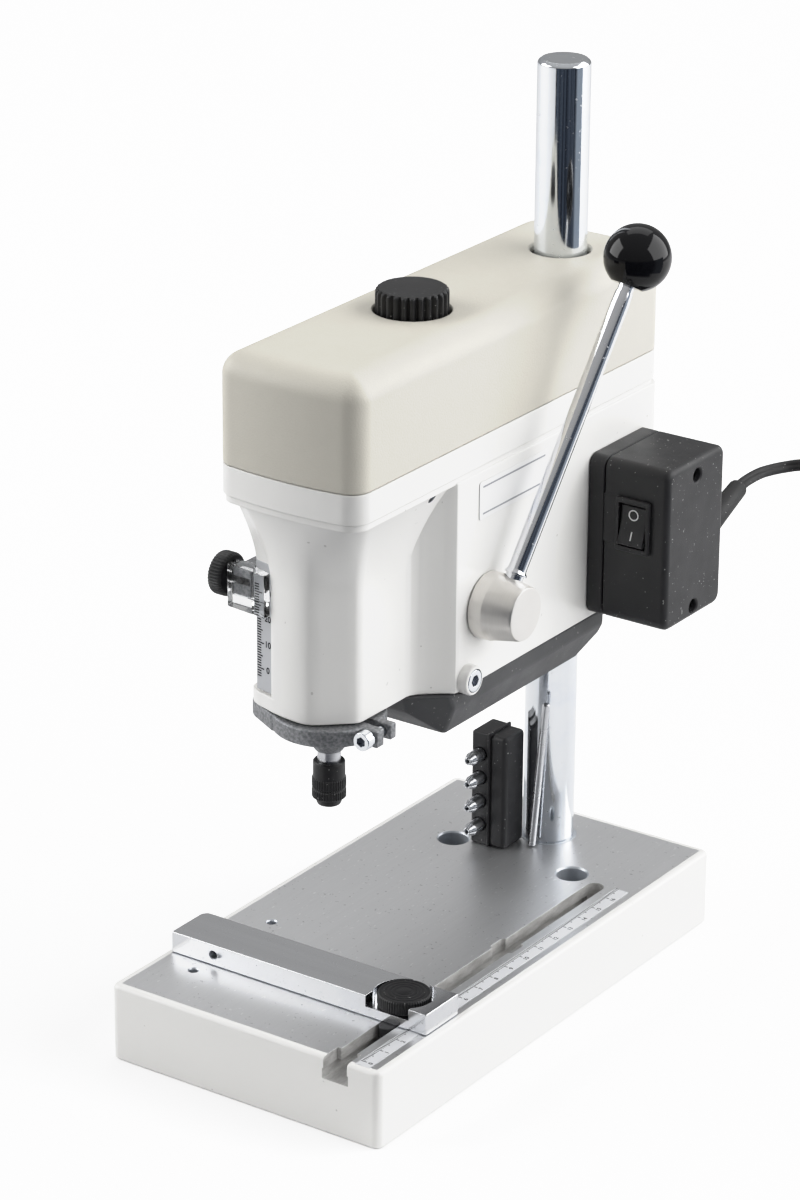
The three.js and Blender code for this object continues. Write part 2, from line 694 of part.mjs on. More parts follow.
// A straight rack in the YZ plane, its teeth facing +Y.
function quillRack() {
  const z0 = 137;
  const z1 = 204;
  const root = RACK_LINE - 1.25 * GEAR_MODULE;
  const tip = RACK_LINE + GEAR_MODULE;
  const s = new THREE.Shape();
  s.moveTo(SPINDLE_Y + 10.7, z0);
  s.lineTo(root, z0);
  const slope = Math.tan(PRESSURE);
  const halfRoot = PITCH / 4 + 1.25 * GEAR_MODULE * slope - BACKLASH / 2;
  const halfTip = PITCH / 4 - GEAR_MODULE * slope - BACKLASH / 2;
  for (let k = -6; k <= 9; k += 1) {
    const z = FEED_Z + (k + 0.5) * PITCH;
    s.lineTo(root, z - halfRoot);
    s.lineTo(tip, z - halfTip);
    s.lineTo(tip, z + halfTip);
    s.lineTo(root, z + halfRoot);
  }
  s.lineTo(root, z1);
  s.lineTo(SPINDLE_Y + 10.7, z1);
  return raisedX(s, HEAD_X - 2.9, HEAD_X + 2.9);
}

// The toothed sector on the lever shaft: involute teeth over the arc that meets the rack.
function feedSector() {
  const baseR = GEAR_R * Math.cos(PRESSURE);
  const tipR = GEAR_R + GEAR_MODULE;
  const rootR = GEAR_R - 1.25 * GEAR_MODULE;
  const involute = (r) => {
    const a = Math.acos(Math.min(1, baseR / r));
    return Math.tan(a) - a;
  };
  const halfAt = (r) =>
    Math.PI / (2 * GEAR_TEETH) - BACKLASH / (2 * GEAR_R) + involute(GEAR_R) - involute(r);
  const radii = [rootR, baseR + 0.02, GEAR_R - 0.6, GEAR_R, GEAR_R + 0.6, tipR];
  const point = (r, a) => [FEED_Y - r * Math.cos(a), FEED_Z + r * Math.sin(a)];
  const outline = [point(8, -1.2)];
  const first = -4;
  const last = 11;
  const step = (2 * Math.PI) / GEAR_TEETH;
  for (let k = first; k <= last; k += 1) {
    const centre = k * step;
    radii.forEach((r) => outline.push(point(r, centre - halfAt(Math.max(r, baseR)))));
    [...radii].reverse().forEach((r) => outline.push(point(r, centre + halfAt(Math.max(r, baseR)))));
  }
  outline.push(point(8, 2));
  const blade = raisedX(polygon(outline.reverse()), HEAD_X - 2.9, HEAD_X + 2.9);
  const boss = rod(10, 11, [HEAD_X - 5.5, FEED_Y, FEED_Z], "x");
  return cut(join(blade, boss), rod(5.05, 30, [HEAD_X - 15, FEED_Y, FEED_Z], "x"));
}

function quillCap() {
  const profile = [
    [4.9, 117.5], [5.2, 117.5], [7.5, 121], [9.3, 121.6], [9.3, QUILL_LOW - 0.2],
    [4.9, QUILL_LOW - 0.2], [4.9, 117.5],
  ];
  return turned(profile, quillAt, "z", 28);
}

function bearing(z) {
  return tube(4.7, 9.4, 7, [HEAD_X, SPINDLE_Y, z]);
}

function spindle() {
  const profile = [
    [2, 100], [3.4, 100], [4.3, 103], [4.3, 118], [4.6, 118.5], [4.6, 206], [0, 206], [0, 112],
    [2, 112], [2, 100],
  ];
  return join(
    turned(profile, quillAt),
    hex(HEX_FLATS, 61, [HEAD_X, SPINDLE_Y, 205]),
  );
}

function collet() {
  const profile = [
    [0.9, 97], [2.6, 97], [3.2, 99.6], [1.9, 99.8], [1.9, 111], [0.9, 111], [0.9, 97],
  ];
  return turned(profile, quillAt, "z", 16);
}

function colletNut() {
  const z = 95.9;
  const profile = [
    [3.4, z], [4.2, z], [5, z + 2.4], [6.3, z + 3.6], [6.3, z + 7.4], [5.9, z + 7.7],
    [5.9, z + 8.3], [6.3, z + 8.6], [6.3, z + 12], [5.7, z + 12.5], [5.7, z + 17.2],
    [4.5, z + 17.2], [4.5, z + 6], [3.4, z + 3.6], [3.4, z],
  ];
  return turned(profile, quillAt, "z", 20);
}

// ---- Depth stop ------------------------------------------------------------------------------
const ARM_Z0 = 126.6;
const ARM_Z1 = 133.2;
const LUG_X = HEAD_X + 26.2;

function stopArm() {
  const ring = rod(21, ARM_Z1 - ARM_Z0, [HEAD_X, SPINDLE_Y, ARM_Z0], "z", 36);
  const reach = polygon([
    [-34.2, -59.5], [-14, -71.4], [HEAD_X, SPINDLE_Y], [-14, -38], [-34.2, -45.5],
  ]);
  const lugs = box(HEAD_X + 14, -59.8, ARM_Z0, LUG_X, -47.6, ARM_Z1);
  return cut(
    join(ring, raised(reach, ARM_Z0, ARM_Z1), lugs),
    rod(QUILL_R + 0.06, 20, [HEAD_X, SPINDLE_Y, 120], "z", 36),
    box(HEAD_X + 5, -55.4, 120, LUG_X + 1, -51.4, 140),
    rod(2.2, 30, [17.6, -70, 129.8], "y", 16),
    rod(4, 9.9, [17.6, -70, 129.8], "y", 16),
    rod(2.56, 20, [ROD_X, ROD_Y, 120], "z", 20),
  );
}

function stopArmScrew() {
  const at = [17.6, -64.2, 129.8];
  return socketScrew({ head: 3.5, headLength: 4.1, shank: 2, length: 18, at, axis: "y" });
}

function depthRod() {
  return rod(2.5, 70, [ROD_X, ROD_Y, ARM_Z0 + 0.2], "z", 20);
}

const STOP = { x0: -38, x1: -19.6, y0: -70.6, y1: -62.5, z0: 170.5, z1: 187 };

function stopClamp() {
  const bar = box(-36.6, -66, 175.2, -28, -47.6, 185.4);
  return cut(
    bar,
    rod(2.56, 30, [ROD_X, ROD_Y, 165], "z", 20),
    rod(2.1, 12, [-40, -64.4, 181], "x", 16),
    box(-38, ROD_Y - 0.6, 170, ROD_X, ROD_Y + 0.6, 190),
  );
}

function stopBlock() {
  const s = STOP;
  const body = raised(roundedRect(s.x0, s.y0, s.x1, s.y1, 0.8), s.z0, s.z1, 2);
  const track = polygon([
    [RAIL_LEFT - 0.7, RAIL_FRONT + 1.3],
    [HEAD_X - 10, RAIL_FRONT - 2.9],
    [HEAD_X - 10, -50],
    [RAIL_LEFT - 0.7, -50],
  ]);
  return cut(
    body,
    raised(track, s.z0 - 1, s.z1 + 1),
    box(-36.9, -66.3, 174.9, -27.7, -50, 185.7),
    rod(2.3, 6, [-40, -64.4, 181], "x", 16),
  );
}

function stopScrew() {
  const x = STOP.x0 - 0.4;
  const at = [0, -64.4, 181];
  const profile = [
    [0, x - 6.2], [7.2, x - 6.2], [8.2, x - 5.4], [8.2, x - 0.6], [7.4, x], [1.9, x], [1.9, x + 5.5],
    [0, x + 5.5],
  ];
  return flutedKnob({
    r: 8.4, flutes: 14, depth: 0.8, profile, at, axis: "x", from: x - 7, to: x - 0.2,
  });
}

// ---- Feed lever ------------------------------------------------------------------------------
const HUB_END = 44;
const ROD_ROOT_X = 33.6; // where the lever rod's axis meets the hub's axis

function leverHub() {
  const x0 = HEAD_RIGHT + GAP;
  const profile = [
    [0, x0], [12.6, x0], [12.6, 32.4], [10.3, 43.4], [9.7, HUB_END], [0, HUB_END],
  ];
  const at = [0, FEED_Y, FEED_Z];
  return cut(
    turned(profile, at, "x", 40),
    rod(5.05, 14, [x0 - 1, FEED_Y, FEED_Z], "x"),
    alongLever([[0, 6.8], [3.7, 6.8], [3.7, 20], [0, 20]]),
  );
}

// A turned body whose axis is the lever rod's, distances counted from the hub's axis.
function alongLever(profile, segments = 16) {
  const points = profile.map(([r, d]) => new THREE.Vector2(r, d));
  const geometry = new THREE.LatheGeometry(points, segments);
  geometry.rotateX(Math.PI / 2);
  geometry.rotateY(LEVER_SPLAY);
  geometry.rotateX(-LEVER_LEAN);
  return solid(geometry.translate(ROD_ROOT_X, FEED_Y, FEED_Z));
}

function leverRod() {
  const ball = LEVER_LENGTH - BALL_R + 6;
  return alongLever([
    [0, 7], [3.4, 7], [3.4, 12.9], [4.3, 12.9], [4.3, 14], [3.9, 14.6], [3.5, 15.4],
    [3.5, ball - 7.5], [3, ball - 7], [3, ball], [0, ball],
  ]);
}

function leverBall() {
  const c = LEVER_LENGTH;
  const flat = 10.9; // from the ball's centre to the flat that faces the rod
  const points = [[0, c - BALL_R + 7], [3.2, c - BALL_R + 7], [3.2, c - flat]];
  const start = Math.acos(flat / BALL_R);
  const steps = 9;
  for (let i = 0; i <= steps; i += 1) {
    const a = start + ((Math.PI - start) * i) / steps;
    points.push([i === steps ? 0 : BALL_R * Math.sin(a), c - BALL_R * Math.cos(a)]);
  }
  return alongLever(points, 20);
}

function feedShaft() {
  return rod(5, 71, [HEAD_X - 35, FEED_Y, FEED_Z], "x");
}

function feedBush(side) {
  const x = side > 0 ? HEAD_RIGHT - 6 : HEAD_X - HEAD_HALF + 0.3;
  return tube(5 + RUN, 7.3, 5.8, [x, FEED_Y, FEED_Z], "x", 20);
}

// A flat spiral spring that turns the shaft back.
function returnSpring() {
  const turns = 3.5;
  const steps = 42;
  const arm = (r) => {
    const points = [];
    for (let i = 0; i <= steps; i += 1) {
      const a = (2 * Math.PI * turns * i) / steps;
      const reach = r + (1.9 * a) / (2 * Math.PI);
      points.push([FEED_Y + reach * Math.cos(a), FEED_Z + reach * Math.sin(a)]);
    }
    return points;
  };
  return raisedX(polygon([...arm(6.6), ...arm(5.9).reverse()]), HEAD_X - 24, HEAD_X - 18);
}

// ---- Switch box ------------------------------------------------------------------------------
const GLAND_X = 53.5;
const GLAND_Z = 163.6;
const GLAND_LENGTH = 26.5;
const GLAND_TILT = THREE.MathUtils.degToRad(22); // the sleeve tips up from the box's rear wall

function boxShell(x0, x1, inset, r) {
  return raisedX(
    roundedRect(BOX_Y0 + inset, BOX_Z0 + inset, BOX_Y1 - inset, BOX_Z1 - inset, r), x0, x1,
  );
}

function switchBoxBase() {
  const x0 = HEAD_RIGHT + GAP;
  return cut(
    boxShell(x0, BOX_SPLIT - 0.15, 0, 5),
    boxShell(x0 + 2.4, BOX_SPLIT + 1, 2.4, 3),
  );
}

const BOX_SCREWS = [141, 193.7];

function switchBoxCover() {
  const x0 = BOX_SPLIT + 0.25;
  const face = join(
    boxShell(x0, BOX_X1 - 1.5, 0, 5), boxShell(BOX_X1 - 1.6, BOX_X1 - 0.6, 0.6, 4.6),
    boxShell(BOX_X1 - 0.7, BOX_X1, 1.5, 4),
  );
  const shell = cut(face, boxShell(x0 - 1, BOX_X1 - 2.6, 2.4, 3));
  const posts = BOX_SCREWS.map((z) => rod(4.2, BOX_X1 - 2 - x0, [x0, 90.5, z], "x", 16));
  return cut(
    join(shell, ...posts),
    ...BOX_SCREWS.map((z) => rod(2.7, 7, [BOX_X1 - 6, 90.5, z], "x", 16)),
    ...BOX_SCREWS.map((z) => rod(1.7, 40, [x0 - 1, 90.5, z], "x", 12)),
    box(40.4, BOX_Y0 - 1, 167.2, 53.4, BOX_Y0 + 6, 186.4),
    rod(4.2, 8, [GLAND_X, BOX_Y1 - 4, GLAND_Z], "y", 20),
  );
}

function switchBoxScrew(z) {
  const at = [BOX_X1 - 3.4, 90.5, z];
  return socketScrew({
    head: 2.4, headLength: 2.2, shank: 1.4, length: 24, at, axis: "x", flip: true,
  });
}

const ROCKER = { x0: 41.3, x1: 52.5, z0: 168.6, z1: 185, y: BOX_Y0 + 1 };

function switchFrame() {
  const r = ROCKER;
  const flange = box(39.5, BOX_Y0 - 1.7, 166.2, 54.3, BOX_Y0 - 0.15, 187.4);
  const tub = box(40.6, BOX_Y0 - 0.5, 167.4, 53.2, BOX_Y0 + 13, 186.2);
  const well = box(r.x0 - 0.3, BOX_Y0 - 3, r.z0 - 0.4, r.x1 + 0.3, BOX_Y0 + 11, r.z1 + 0.4);
  return cut(join(flange, tub), well);
}

// The rocker tips about X; at rest its lower half stands out.
function switchRocker() {
  const c = (ROCKER.z0 + ROCKER.z1) / 2;
  const y = ROCKER.y;
  const s = polygon([
    [y + 4, c - 5], [y - 0.6, ROCKER.z0 + 0.9], [y - 4.3, ROCKER.z0 + 0.7], [y - 1.6, c],
    [y - 1.3, ROCKER.z1 - 0.5], [y + 3, ROCKER.z1 - 2],
  ]);
  return raisedX(s, ROCKER.x0, ROCKER.x1);
}

// A round section swept along the cable's path: from inside the box, up through the strain
// relief, then back and round to the right.
function alongCable(radius) {
  const rise = (d) => [
    BOX_Y1 + 1 + d * Math.cos(GLAND_TILT), GLAND_Z + d * Math.sin(GLAND_TILT),
  ];
  const point = (x, [y, z]) => new THREE.Vector3(x, y, z);
  const path = new THREE.CatmullRomCurve3([
    point(GLAND_X, [BOX_Y1 - 4, GLAND_Z]),
    point(GLAND_X, rise(0)),
    point(GLAND_X, rise(GLAND_LENGTH / 2)),
    point(GLAND_X, rise(GLAND_LENGTH)),
    point(GLAND_X + 0.8, [146.5, 174.9]),
    point(GLAND_X + 2.4, [154, 175]),
    point(GLAND_X + 6.2, [161, 175.2]),
    point(GLAND_X + 12, [163.5, 176.4]),
    point(GLAND_X + 22, [161.5, 178]),
  ]);
  const section = new THREE.Shape().absarc(0, 0, radius, 0, 2 * Math.PI);
  const geometry = new THREE.ExtrudeGeometry(section, {
    steps: 26,
    extrudePath: path,
    curveSegments: 4,
  });
  return solid(geometry);
}

const CABLE_R = 2.1;

function cableGland() {
  const collar = turned(
    [[0, -3], [4, -3], [4, 0.3], [5.6, 0.3], [5.6, 2.8], [0, 2.8]], [GLAND_X, BOX_Y1, GLAND_Z],
    "y", 20,
  );
  const sleeve = new THREE.CylinderGeometry(3.6, 4.4, GLAND_LENGTH - 2.4, 20);
  sleeve.translate(0, GLAND_LENGTH / 2 + 1.2, 0);
  sleeve.rotateX(GLAND_TILT);
  sleeve.translate(GLAND_X, BOX_Y1 + 0.4, GLAND_Z);
  return cut(join(collar, solid(sleeve)), alongCable(CABLE_R + 0.4));
}

function powerCable() {
  return alongCable(CABLE_R);
}

function sideLabel() {
  return raisedX(roundedRect(-4, 197, 42, 212, 1), HEAD_RIGHT + 0.1, HEAD_RIGHT + 0.5, 2);
}

function fenceScale() {
  return box(50.2, -110, TABLE_Z + 0.02, 55.2, 62, TABLE_Z + 0.09);
}

// ---- Assembly --------------------------------------------------------------------------------
part("base_casting", "paint", baseCasting());
part("column", "zinc", column());
part("column_screw", "steel", columnScrew());
part("fence_scale", "strip", fenceScale());
part("collet_case", "black", colletCase());
COLLETS.forEach((z, i) => part(`spare_collet_${i + 1}`, "steel", spareCollet(z)));
part("tommy_bar", "steel", tommyBar());

part("fence", "zinc", fence());
part("fence_bolt", "steel", fenceBolt());
part("fence_knob", "black", fenceKnob());

part("column_bush", "alu", columnBush());

part("head_housing", "paint", housing());
part("motor_casing", "dark", motorCasing());
part("casing_screw_right", "zinc", casingScrew(1));
part("casing_screw_left", "zinc", casingScrew(-1));
part("head_clamp_screw", "zinc", headClampScrew());
part("side_label", "strip", sideLabel());
part("depth_scale", "strip", depthScale());
part("drive_belt", "rubber", belt());
part("motor_can", "steel", motorCan());
part("pulley_bearing", "steel", pulleyBearing());
part("feed_bush_right", "alu", feedBush(1));
part("feed_bush_left", "alu", feedBush(-1));
part("return_spring", "steel", returnSpring());

part("motor_rotor", "copper", motorRotor());
part("motor_pulley", "alu", motorPulley());
part("spindle_pulley", "alu", spindlePulley());

part("belt_cover", "cover", beltCover());
part("cover_knob", "black", coverKnob());
part("cover_stud", "steel", coverStud());

part("feed_shaft", "steel", feedShaft());
part("feed_sector", "steel", feedSector());
part("lever_hub", "alu", leverHub());
part("lever_rod", "zinc", leverRod());
part("lever_ball", "gloss", leverBall());

part("quill", "steel", quill());
part("quill_rack", "steel", quillRack());
part("quill_cap", "cast", quillCap());
part("bearing_lower", "steel", bearing(QUILL_LOW + 0.5));
part("bearing_upper", "steel", bearing(QUILL_TOP - 7.5));
part("stop_arm", "cast", stopArm());
part("stop_arm_screw", "zinc", stopArmScrew());
part("depth_rod", "steel", depthRod());

part("stop_clamp", "cast", stopClamp());
part("stop_block", "clear", stopBlock());
part("stop_screw", "black", stopScrew());

part("spindle", "steel", spindle());
part("collet", "steel", collet());
part("collet_nut", "black", colletNut());

part("switch_box_base", "black", switchBoxBase());
part("switch_box_cover", "black", switchBoxCover());
part("switch_box_screw_low", "black", switchBoxScrew(BOX_SCREWS[0]));
part("switch_box_screw_high", "black", switchBoxScrew(BOX_SCREWS[1]));
part("switch_frame", "black", switchFrame());
part("switch_rocker", "black", switchRocker());
part("cable_gland", "rubber", cableGland());
part("power_cable", "rubber", powerCable());

export default machine;
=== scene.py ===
"""A small precision bench drill press in its materials, in a pale studio. Lengths are in millimetres."""
import math

import bmesh
import bpy
from mathutils import Matrix, Vector


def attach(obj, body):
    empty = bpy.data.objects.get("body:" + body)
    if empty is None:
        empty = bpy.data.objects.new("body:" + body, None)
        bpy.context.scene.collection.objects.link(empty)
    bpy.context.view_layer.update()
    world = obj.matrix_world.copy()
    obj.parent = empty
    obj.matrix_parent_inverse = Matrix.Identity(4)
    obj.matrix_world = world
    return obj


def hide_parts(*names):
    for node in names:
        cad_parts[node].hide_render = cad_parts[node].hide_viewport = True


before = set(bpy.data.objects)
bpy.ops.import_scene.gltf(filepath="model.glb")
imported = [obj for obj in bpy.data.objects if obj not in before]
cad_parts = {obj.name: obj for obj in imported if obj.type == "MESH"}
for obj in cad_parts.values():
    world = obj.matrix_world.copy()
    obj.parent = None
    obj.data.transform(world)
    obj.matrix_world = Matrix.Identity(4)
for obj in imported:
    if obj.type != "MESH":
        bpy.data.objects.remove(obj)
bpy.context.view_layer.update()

MM = 0.001
HEAD_X, SPINDLE_Y, MOTOR_Y, COLUMN_Y = -4.6, -52.6, 38.0, 88.7
# A point on each upright axis
SPINDLE = (HEAD_X, SPINDLE_Y, 0)
COLUMN = (0, COLUMN_Y, 0)
POST = (HEAD_X, -1.8, 0)
DEPTH_ROD = (-31.5, -52, 0)
FENCE_BOLT = (41, -69.5, 0)
# and on each level one.
FEED = (0, 1.8, 163.2)
CASING_SCREW = (0, -10.5, 138)
STOP_SCREW = (0, -64.4, 181)
LUG_SCREW = (17.6, 0, 129.8)
GLAND = (53.5, 0, 163.6)
FENCE_TAP = (-38.2, 0, 34.6)
BOX_SCREWS = {"switch_box_screw_low": (0, 90.5, 141.0), "switch_box_screw_high": (0, 90.5, 193.7)}
SPARE_X, SPARE_HEIGHTS = -16.4, (39, 49, 59, 69)  # the spare collets in their case
ROCKER_X = 46.9  # the rocker's middle
CABLE_RISE = math.radians(22)  # of the strain relief


# ---- Node materials
class Shader:
    """A material being wired up: each call adds a node and returns its output."""

    def __init__(self, name):
        self.material = bpy.data.materials.new(name)
        self.material.use_nodes = True
        self.tree = self.material.node_tree
        self.surface = self.tree.nodes["Principled BSDF"]
        self.place = self.add("ShaderNodeTexCoord").outputs["Object"]

    def add(self, kind, links=None, **settings):
        node = self.tree.nodes.new(kind)
        for key, value in settings.items():
            setattr(node, key, value)
        for key, value in (links or {}).items():
            self.feed(node.inputs[key], value)
        return node

    def feed(self, socket, value):
        if isinstance(value, bpy.types.NodeSocket):
            self.tree.links.new(value, socket)
        else:
            socket.default_value = value

    def set(self, **values):
        for key, value in values.items():
            self.feed(self.surface.inputs[key.replace("_", " ")], value)

    def noise(self, scale, detail=3.0, stretch=(1, 1, 1), rough=0.5):
        place = self.add("ShaderNodeMapping", {"Vector": self.place, "Scale": stretch})
        links = {"Vector": place.outputs[0], "Scale": scale, "Detail": detail, "Roughness": rough}
        return self.add("ShaderNodeTexNoise", links).outputs["Fac"]

    def ramp(self, value, low, high, out_low=0.0, out_high=1.0):
        links = {0: value, 1: low, 2: high, 3: out_low, 4: out_high}
        return self.add("ShaderNodeMapRange", links).outputs[0]

    def vary(self, scale, detail, low=0.0, high=1.0):
        """A value that drifts from low to high over the surface."""
        return self.ramp(self.noise(scale, detail), 0.3, 0.7, low, high)

    def mix(self, share, a, b):
        node = self.add("ShaderNodeMix", data_type="RGBA")
        self.feed(node.inputs["Factor"], share)
        self.feed(node.inputs["A"], (*a, 1) if isinstance(a, tuple) else a)
        self.feed(node.inputs["B"], (*b, 1) if isinstance(b, tuple) else b)
        return node.outputs["Result"]

    def math(self, operation, a, b=0.0):
        return self.add("ShaderNodeMath", {0: a, 1: b}, operation=operation).outputs[0]

    def times(self, a, b):
        return self.math("MULTIPLY", a, b)

    def relief(self, height, depth, edge=0.35):
        """Bump of the given depth in mm over edges softened to a radius in mm."""
        soft = self.add("ShaderNodeBevel", {"Radius": edge * MM}, samples=4).outputs[0]
        links = {"Height": height, "Distance": depth * MM, "Normal": soft}
        bump = self.add("ShaderNodeBump", links).outputs[0]
        self.set(Normal=bump)


def shade(color, share):
    return tuple(c * share for c in color)


def plain(name, color, rough, metal=0.0, grain=900, depth=0.01, vary=0.06, **more):
    """A finish whose colour and roughness drift a little and whose surface has a fine grain."""
    s = Shader(name)
    s.set(Base_Color=s.mix(s.vary(28, 4), shade(color, 1 - vary), color))
    s.set(Metallic=metal, Roughness=s.vary(90, 5, rough * 0.88, rough * 1.12), **more)
    s.relief(s.noise(grain, 3), depth)
    return s.material


def paint():
    """Gloss enamel over a casting: orange peel, rare pinholes, and a trace of grime."""
    s = Shader("gloss_paint")
    white = (0.81, 0.805, 0.785)
    pits = s.ramp(s.noise(420, 1, rough=0.2), 0.80, 0.83)
    tone = s.mix(s.noise(9, 2), shade(white, 0.975), white)
    s.set(Base_Color=s.mix(s.times(pits, 0.45), tone, (0.30, 0.29, 0.27)))
    s.set(Roughness=s.ramp(s.noise(60, 2), 0.0, 1.0, 0.26, 0.34))
    s.set(Coat_Weight=0.35, Coat_Roughness=0.14)
    s.relief(s.noise(520, 2), 0.014, 0.6)
    return s.material


def cover_plastic():
    s = Shader("cover_plastic")
    warm = (0.575, 0.552, 0.486)
    tone = s.mix(s.ramp(s.noise(14, 3), 0.35, 0.68), shade(warm, 0.97), warm)
    fleck = s.ramp(s.noise(2600, 2), 0.45, 0.75)
    s.set(Base_Color=s.mix(s.times(fleck, 0.16), tone, shade(warm, 0.72)))
    s.set(Roughness=s.vary(130, 4, 0.46, 0.58))
    s.relief(s.noise(1400, 3), 0.10, 0.5)
    return s.material


def milled():
    """The ground table top: very fine streaks along it, small bright and dark specks."""
    s = Shader("milled_top")
    streak = s.noise(14, 5, stretch=(60, 1.5, 1), rough=0.75)
    fine = s.noise(120, 4, stretch=(30, 1.5, 1), rough=0.6)
    tone = s.mix(s.ramp(streak, 0.2, 0.8), (0.65, 0.655, 0.665), (0.70, 0.705, 0.715))
    bright = s.ramp(s.noise(900, 1, stretch=(1, 0.35, 1)), 0.70, 0.76)
    tone = s.mix(s.times(bright, 0.6), tone, (0.86, 0.865, 0.87))
    dark = s.ramp(s.noise(640, 2), 0.69, 0.74)
    s.set(Base_Color=s.mix(s.times(dark, 0.55), tone, (0.27, 0.27, 0.28)))
    s.set(Metallic=0.92, Roughness=s.ramp(fine, 0.1, 0.9, 0.34, 0.42))
    s.relief(fine, 0.003, 0.25)
    return s.material


def slot_wall():
    """The planed sides and floor of the T slot: rough, pale and a little stained."""
    s = Shader("slot_wall")
    rough = s.noise(320, 5, stretch=(1, 0.3, 1), rough=0.7)
    tone = s.mix(s.ramp(rough, 0.3, 0.7), (0.34, 0.335, 0.325), (0.66, 0.655, 0.645))
    s.set(Base_Color=tone, Metallic=0.45, Roughness=s.ramp(rough, 0.3, 0.7, 0.42, 0.6))
    s.relief(rough, 0.05, 0.2)
    return s.material


def plated(name, color=(0.80, 0.83, 0.87), rough=0.13, cloud=0.25, blue=(0.50, 0.60, 0.78)):
    """Zinc or chrome plating: a bright mirror with bluish clouds and small pale spots."""
    s = Shader(name)
    cloudy = s.ramp(s.noise(75, 6, rough=0.65), 0.52, 0.75)
    tone = s.mix(s.times(cloudy, cloud), color, blue)
    spots = s.ramp(s.noise(520, 2), 0.66, 0.74)
    s.set(Base_Color=s.mix(s.times(spots, 0.4), tone, (0.90, 0.91, 0.93)))
    dull = s.math("ADD", s.times(spots, 0.22), s.times(cloudy, 0.07))
    s.set(Metallic=1.0, Roughness=s.math("ADD", dull, rough))
    s.relief(s.noise(700, 3), 0.004, 0.2)
    return s.material


def ground_steel():
    """Bright plated bar with small dark pits and faint lines along it."""
    s = Shader("ground_steel")
    lines = s.noise(160, 3, stretch=(0.05, 1, 1), rough=0.6)
    tone = s.mix(lines, (0.70, 0.71, 0.73), (0.80, 0.81, 0.83))
    pits = s.ramp(s.noise(900, 2, rough=0.5), 0.68, 0.74)
    s.set(Base_Color=s.mix(s.times(pits, 0.6), tone, (0.20, 0.20, 0.21)))
    s.set(Metallic=1.0, Roughness=s.math("ADD", s.times(pits, 0.2), 0.15))
    s.relief(s.noise(500, 3), 0.004, 0.2)
    return s.material


def turned_metal(name, color, rough, axis, metal=1.0, strength=1.0):
    """Lathe-turned metal: fine rings round the given axis."""
    s = Shader(name)
    stretch = {"x": (1, 0.02, 0.02), "z": (0.02, 0.02, 1)}[axis]
    rings = s.noise(2600, 3, stretch=stretch, rough=0.6)
    s.set(Base_Color=s.mix(s.ramp(rings, 0.3, 0.7), shade(color, 1 - 0.14 * strength), color))
    s.set(Metallic=metal, Roughness=s.vary(70, 4, rough * 0.85, rough * 1.2))
    s.relief(rings, 0.006 * strength, 0.25)
    return s.material


def sand_cast():
    s = Shader("sand_cast")
    tone = s.mix(s.ramp(s.noise(900, 5), 0.35, 0.65), (0.15, 0.155, 0.165), (0.30, 0.305, 0.315))
    s.set(Base_Color=tone, Metallic=0.65, Roughness=s.vary(400, 3, 0.40, 0.58))
    s.relief(s.noise(2100, 3, rough=0.65), 0.10, 0.45)
    return s.material


def acrylic():
    s = Shader("clear_acrylic")
    s.set(Base_Color=(0.97, 0.98, 0.985, 1), Transmission_Weight=1.0, IOR=1.27)
    s.set(Roughness=s.ramp(s.noise(80, 4), 0.4, 0.7, 0.02, 0.08))
    s.relief(s.noise(240, 2), 0.01, 0.3)
    return s.material


def rubberised(name, color, rough):
    """A dull black moulding with a fine grain and a little pale dust."""
    s = Shader(name)
    dust = s.ramp(s.noise(1000, 1, rough=0.3), 0.75, 0.785)
    tone = s.mix(s.vary(28, 4), shade(color, 0.75), color)
    s.set(Base_Color=s.mix(s.times(dust, 0.5), tone, (0.45, 0.45, 0.44)))
    s.set(Roughness=s.vary(90, 5, rough * 0.88, rough * 1.12))
    s.set(Specular_IOR_Level=0.38)
    s.relief(s.noise(2200, 3), 0.05, 0.4)
    return s.material


PAINT = paint()
COVER = cover_plastic()
MILLED = milled()
SLOT = slot_wall()
CHROME = plated("column_plating", rough=0.10, cloud=0.30)
ZINC = plated("zinc_plating", rough=0.20, cloud=0.6)
LEVER = plated("lever_plating", (0.84, 0.85, 0.88), 0.12, 0.35)
POLISHED = ground_steel()
HUB = turned_metal("satin_hub", (0.76, 0.74, 0.71), 0.40, "x", 0.9, 0.3)
# A dark bluish plated colour used only as painted shade: inside the screws' hex sockets and under the
# fence's lower edge.
RECESS_SHADE = plated("painted_recess_shade", (0.42, 0.44, 0.48), 0.24, 0.3, (0.20, 0.23, 0.30))
STEEL = turned_metal("turned_steel", (0.62, 0.63, 0.65), 0.28, "z")
ALUMINIUM = turned_metal("turned_aluminium", (0.74, 0.74, 0.75), 0.33, "z")
CAST = sand_cast()
BLACK = rubberised("black_plastic", (0.019, 0.019, 0.021), 0.48)
KNURL = rubberised("knurled_black", (0.010, 0.010, 0.011), 0.40)
GLOSS = plain("gloss_black", (0.004, 0.004, 0.005), 0.06, grain=90, depth=0.003, Specular_IOR_Level=0.24)
CASING = rubberised("casing_plastic", (0.055, 0.056, 0.060), 0.52)
RUBBER = rubberised("cable_rubber", (0.02, 0.02, 0.021), 0.62)
BELT = rubberised("belt_rubber", (0.05, 0.045, 0.04), 0.75)
STRIP = plain("scale_strip", (0.70, 0.71, 0.73), 0.36, 0.25, grain=1500, depth=0.004, vary=0.03)
SILVER = plain("depth_strip", (0.48, 0.49, 0.51), 0.42, 0.35, grain=1500, depth=0.004, vary=0.05)
INK = plain("printed_ink", (0.008, 0.008, 0.010), 0.8, depth=0.002, Specular_IOR_Level=0.1)
PRINT_WHITE = plain("printed_white", (0.85, 0.85, 0.85), 0.5, depth=0.002)
STICKER = plain("sticker_white", (0.80, 0.80, 0.80), 0.30, grain=300, depth=0.01, vary=0.02)
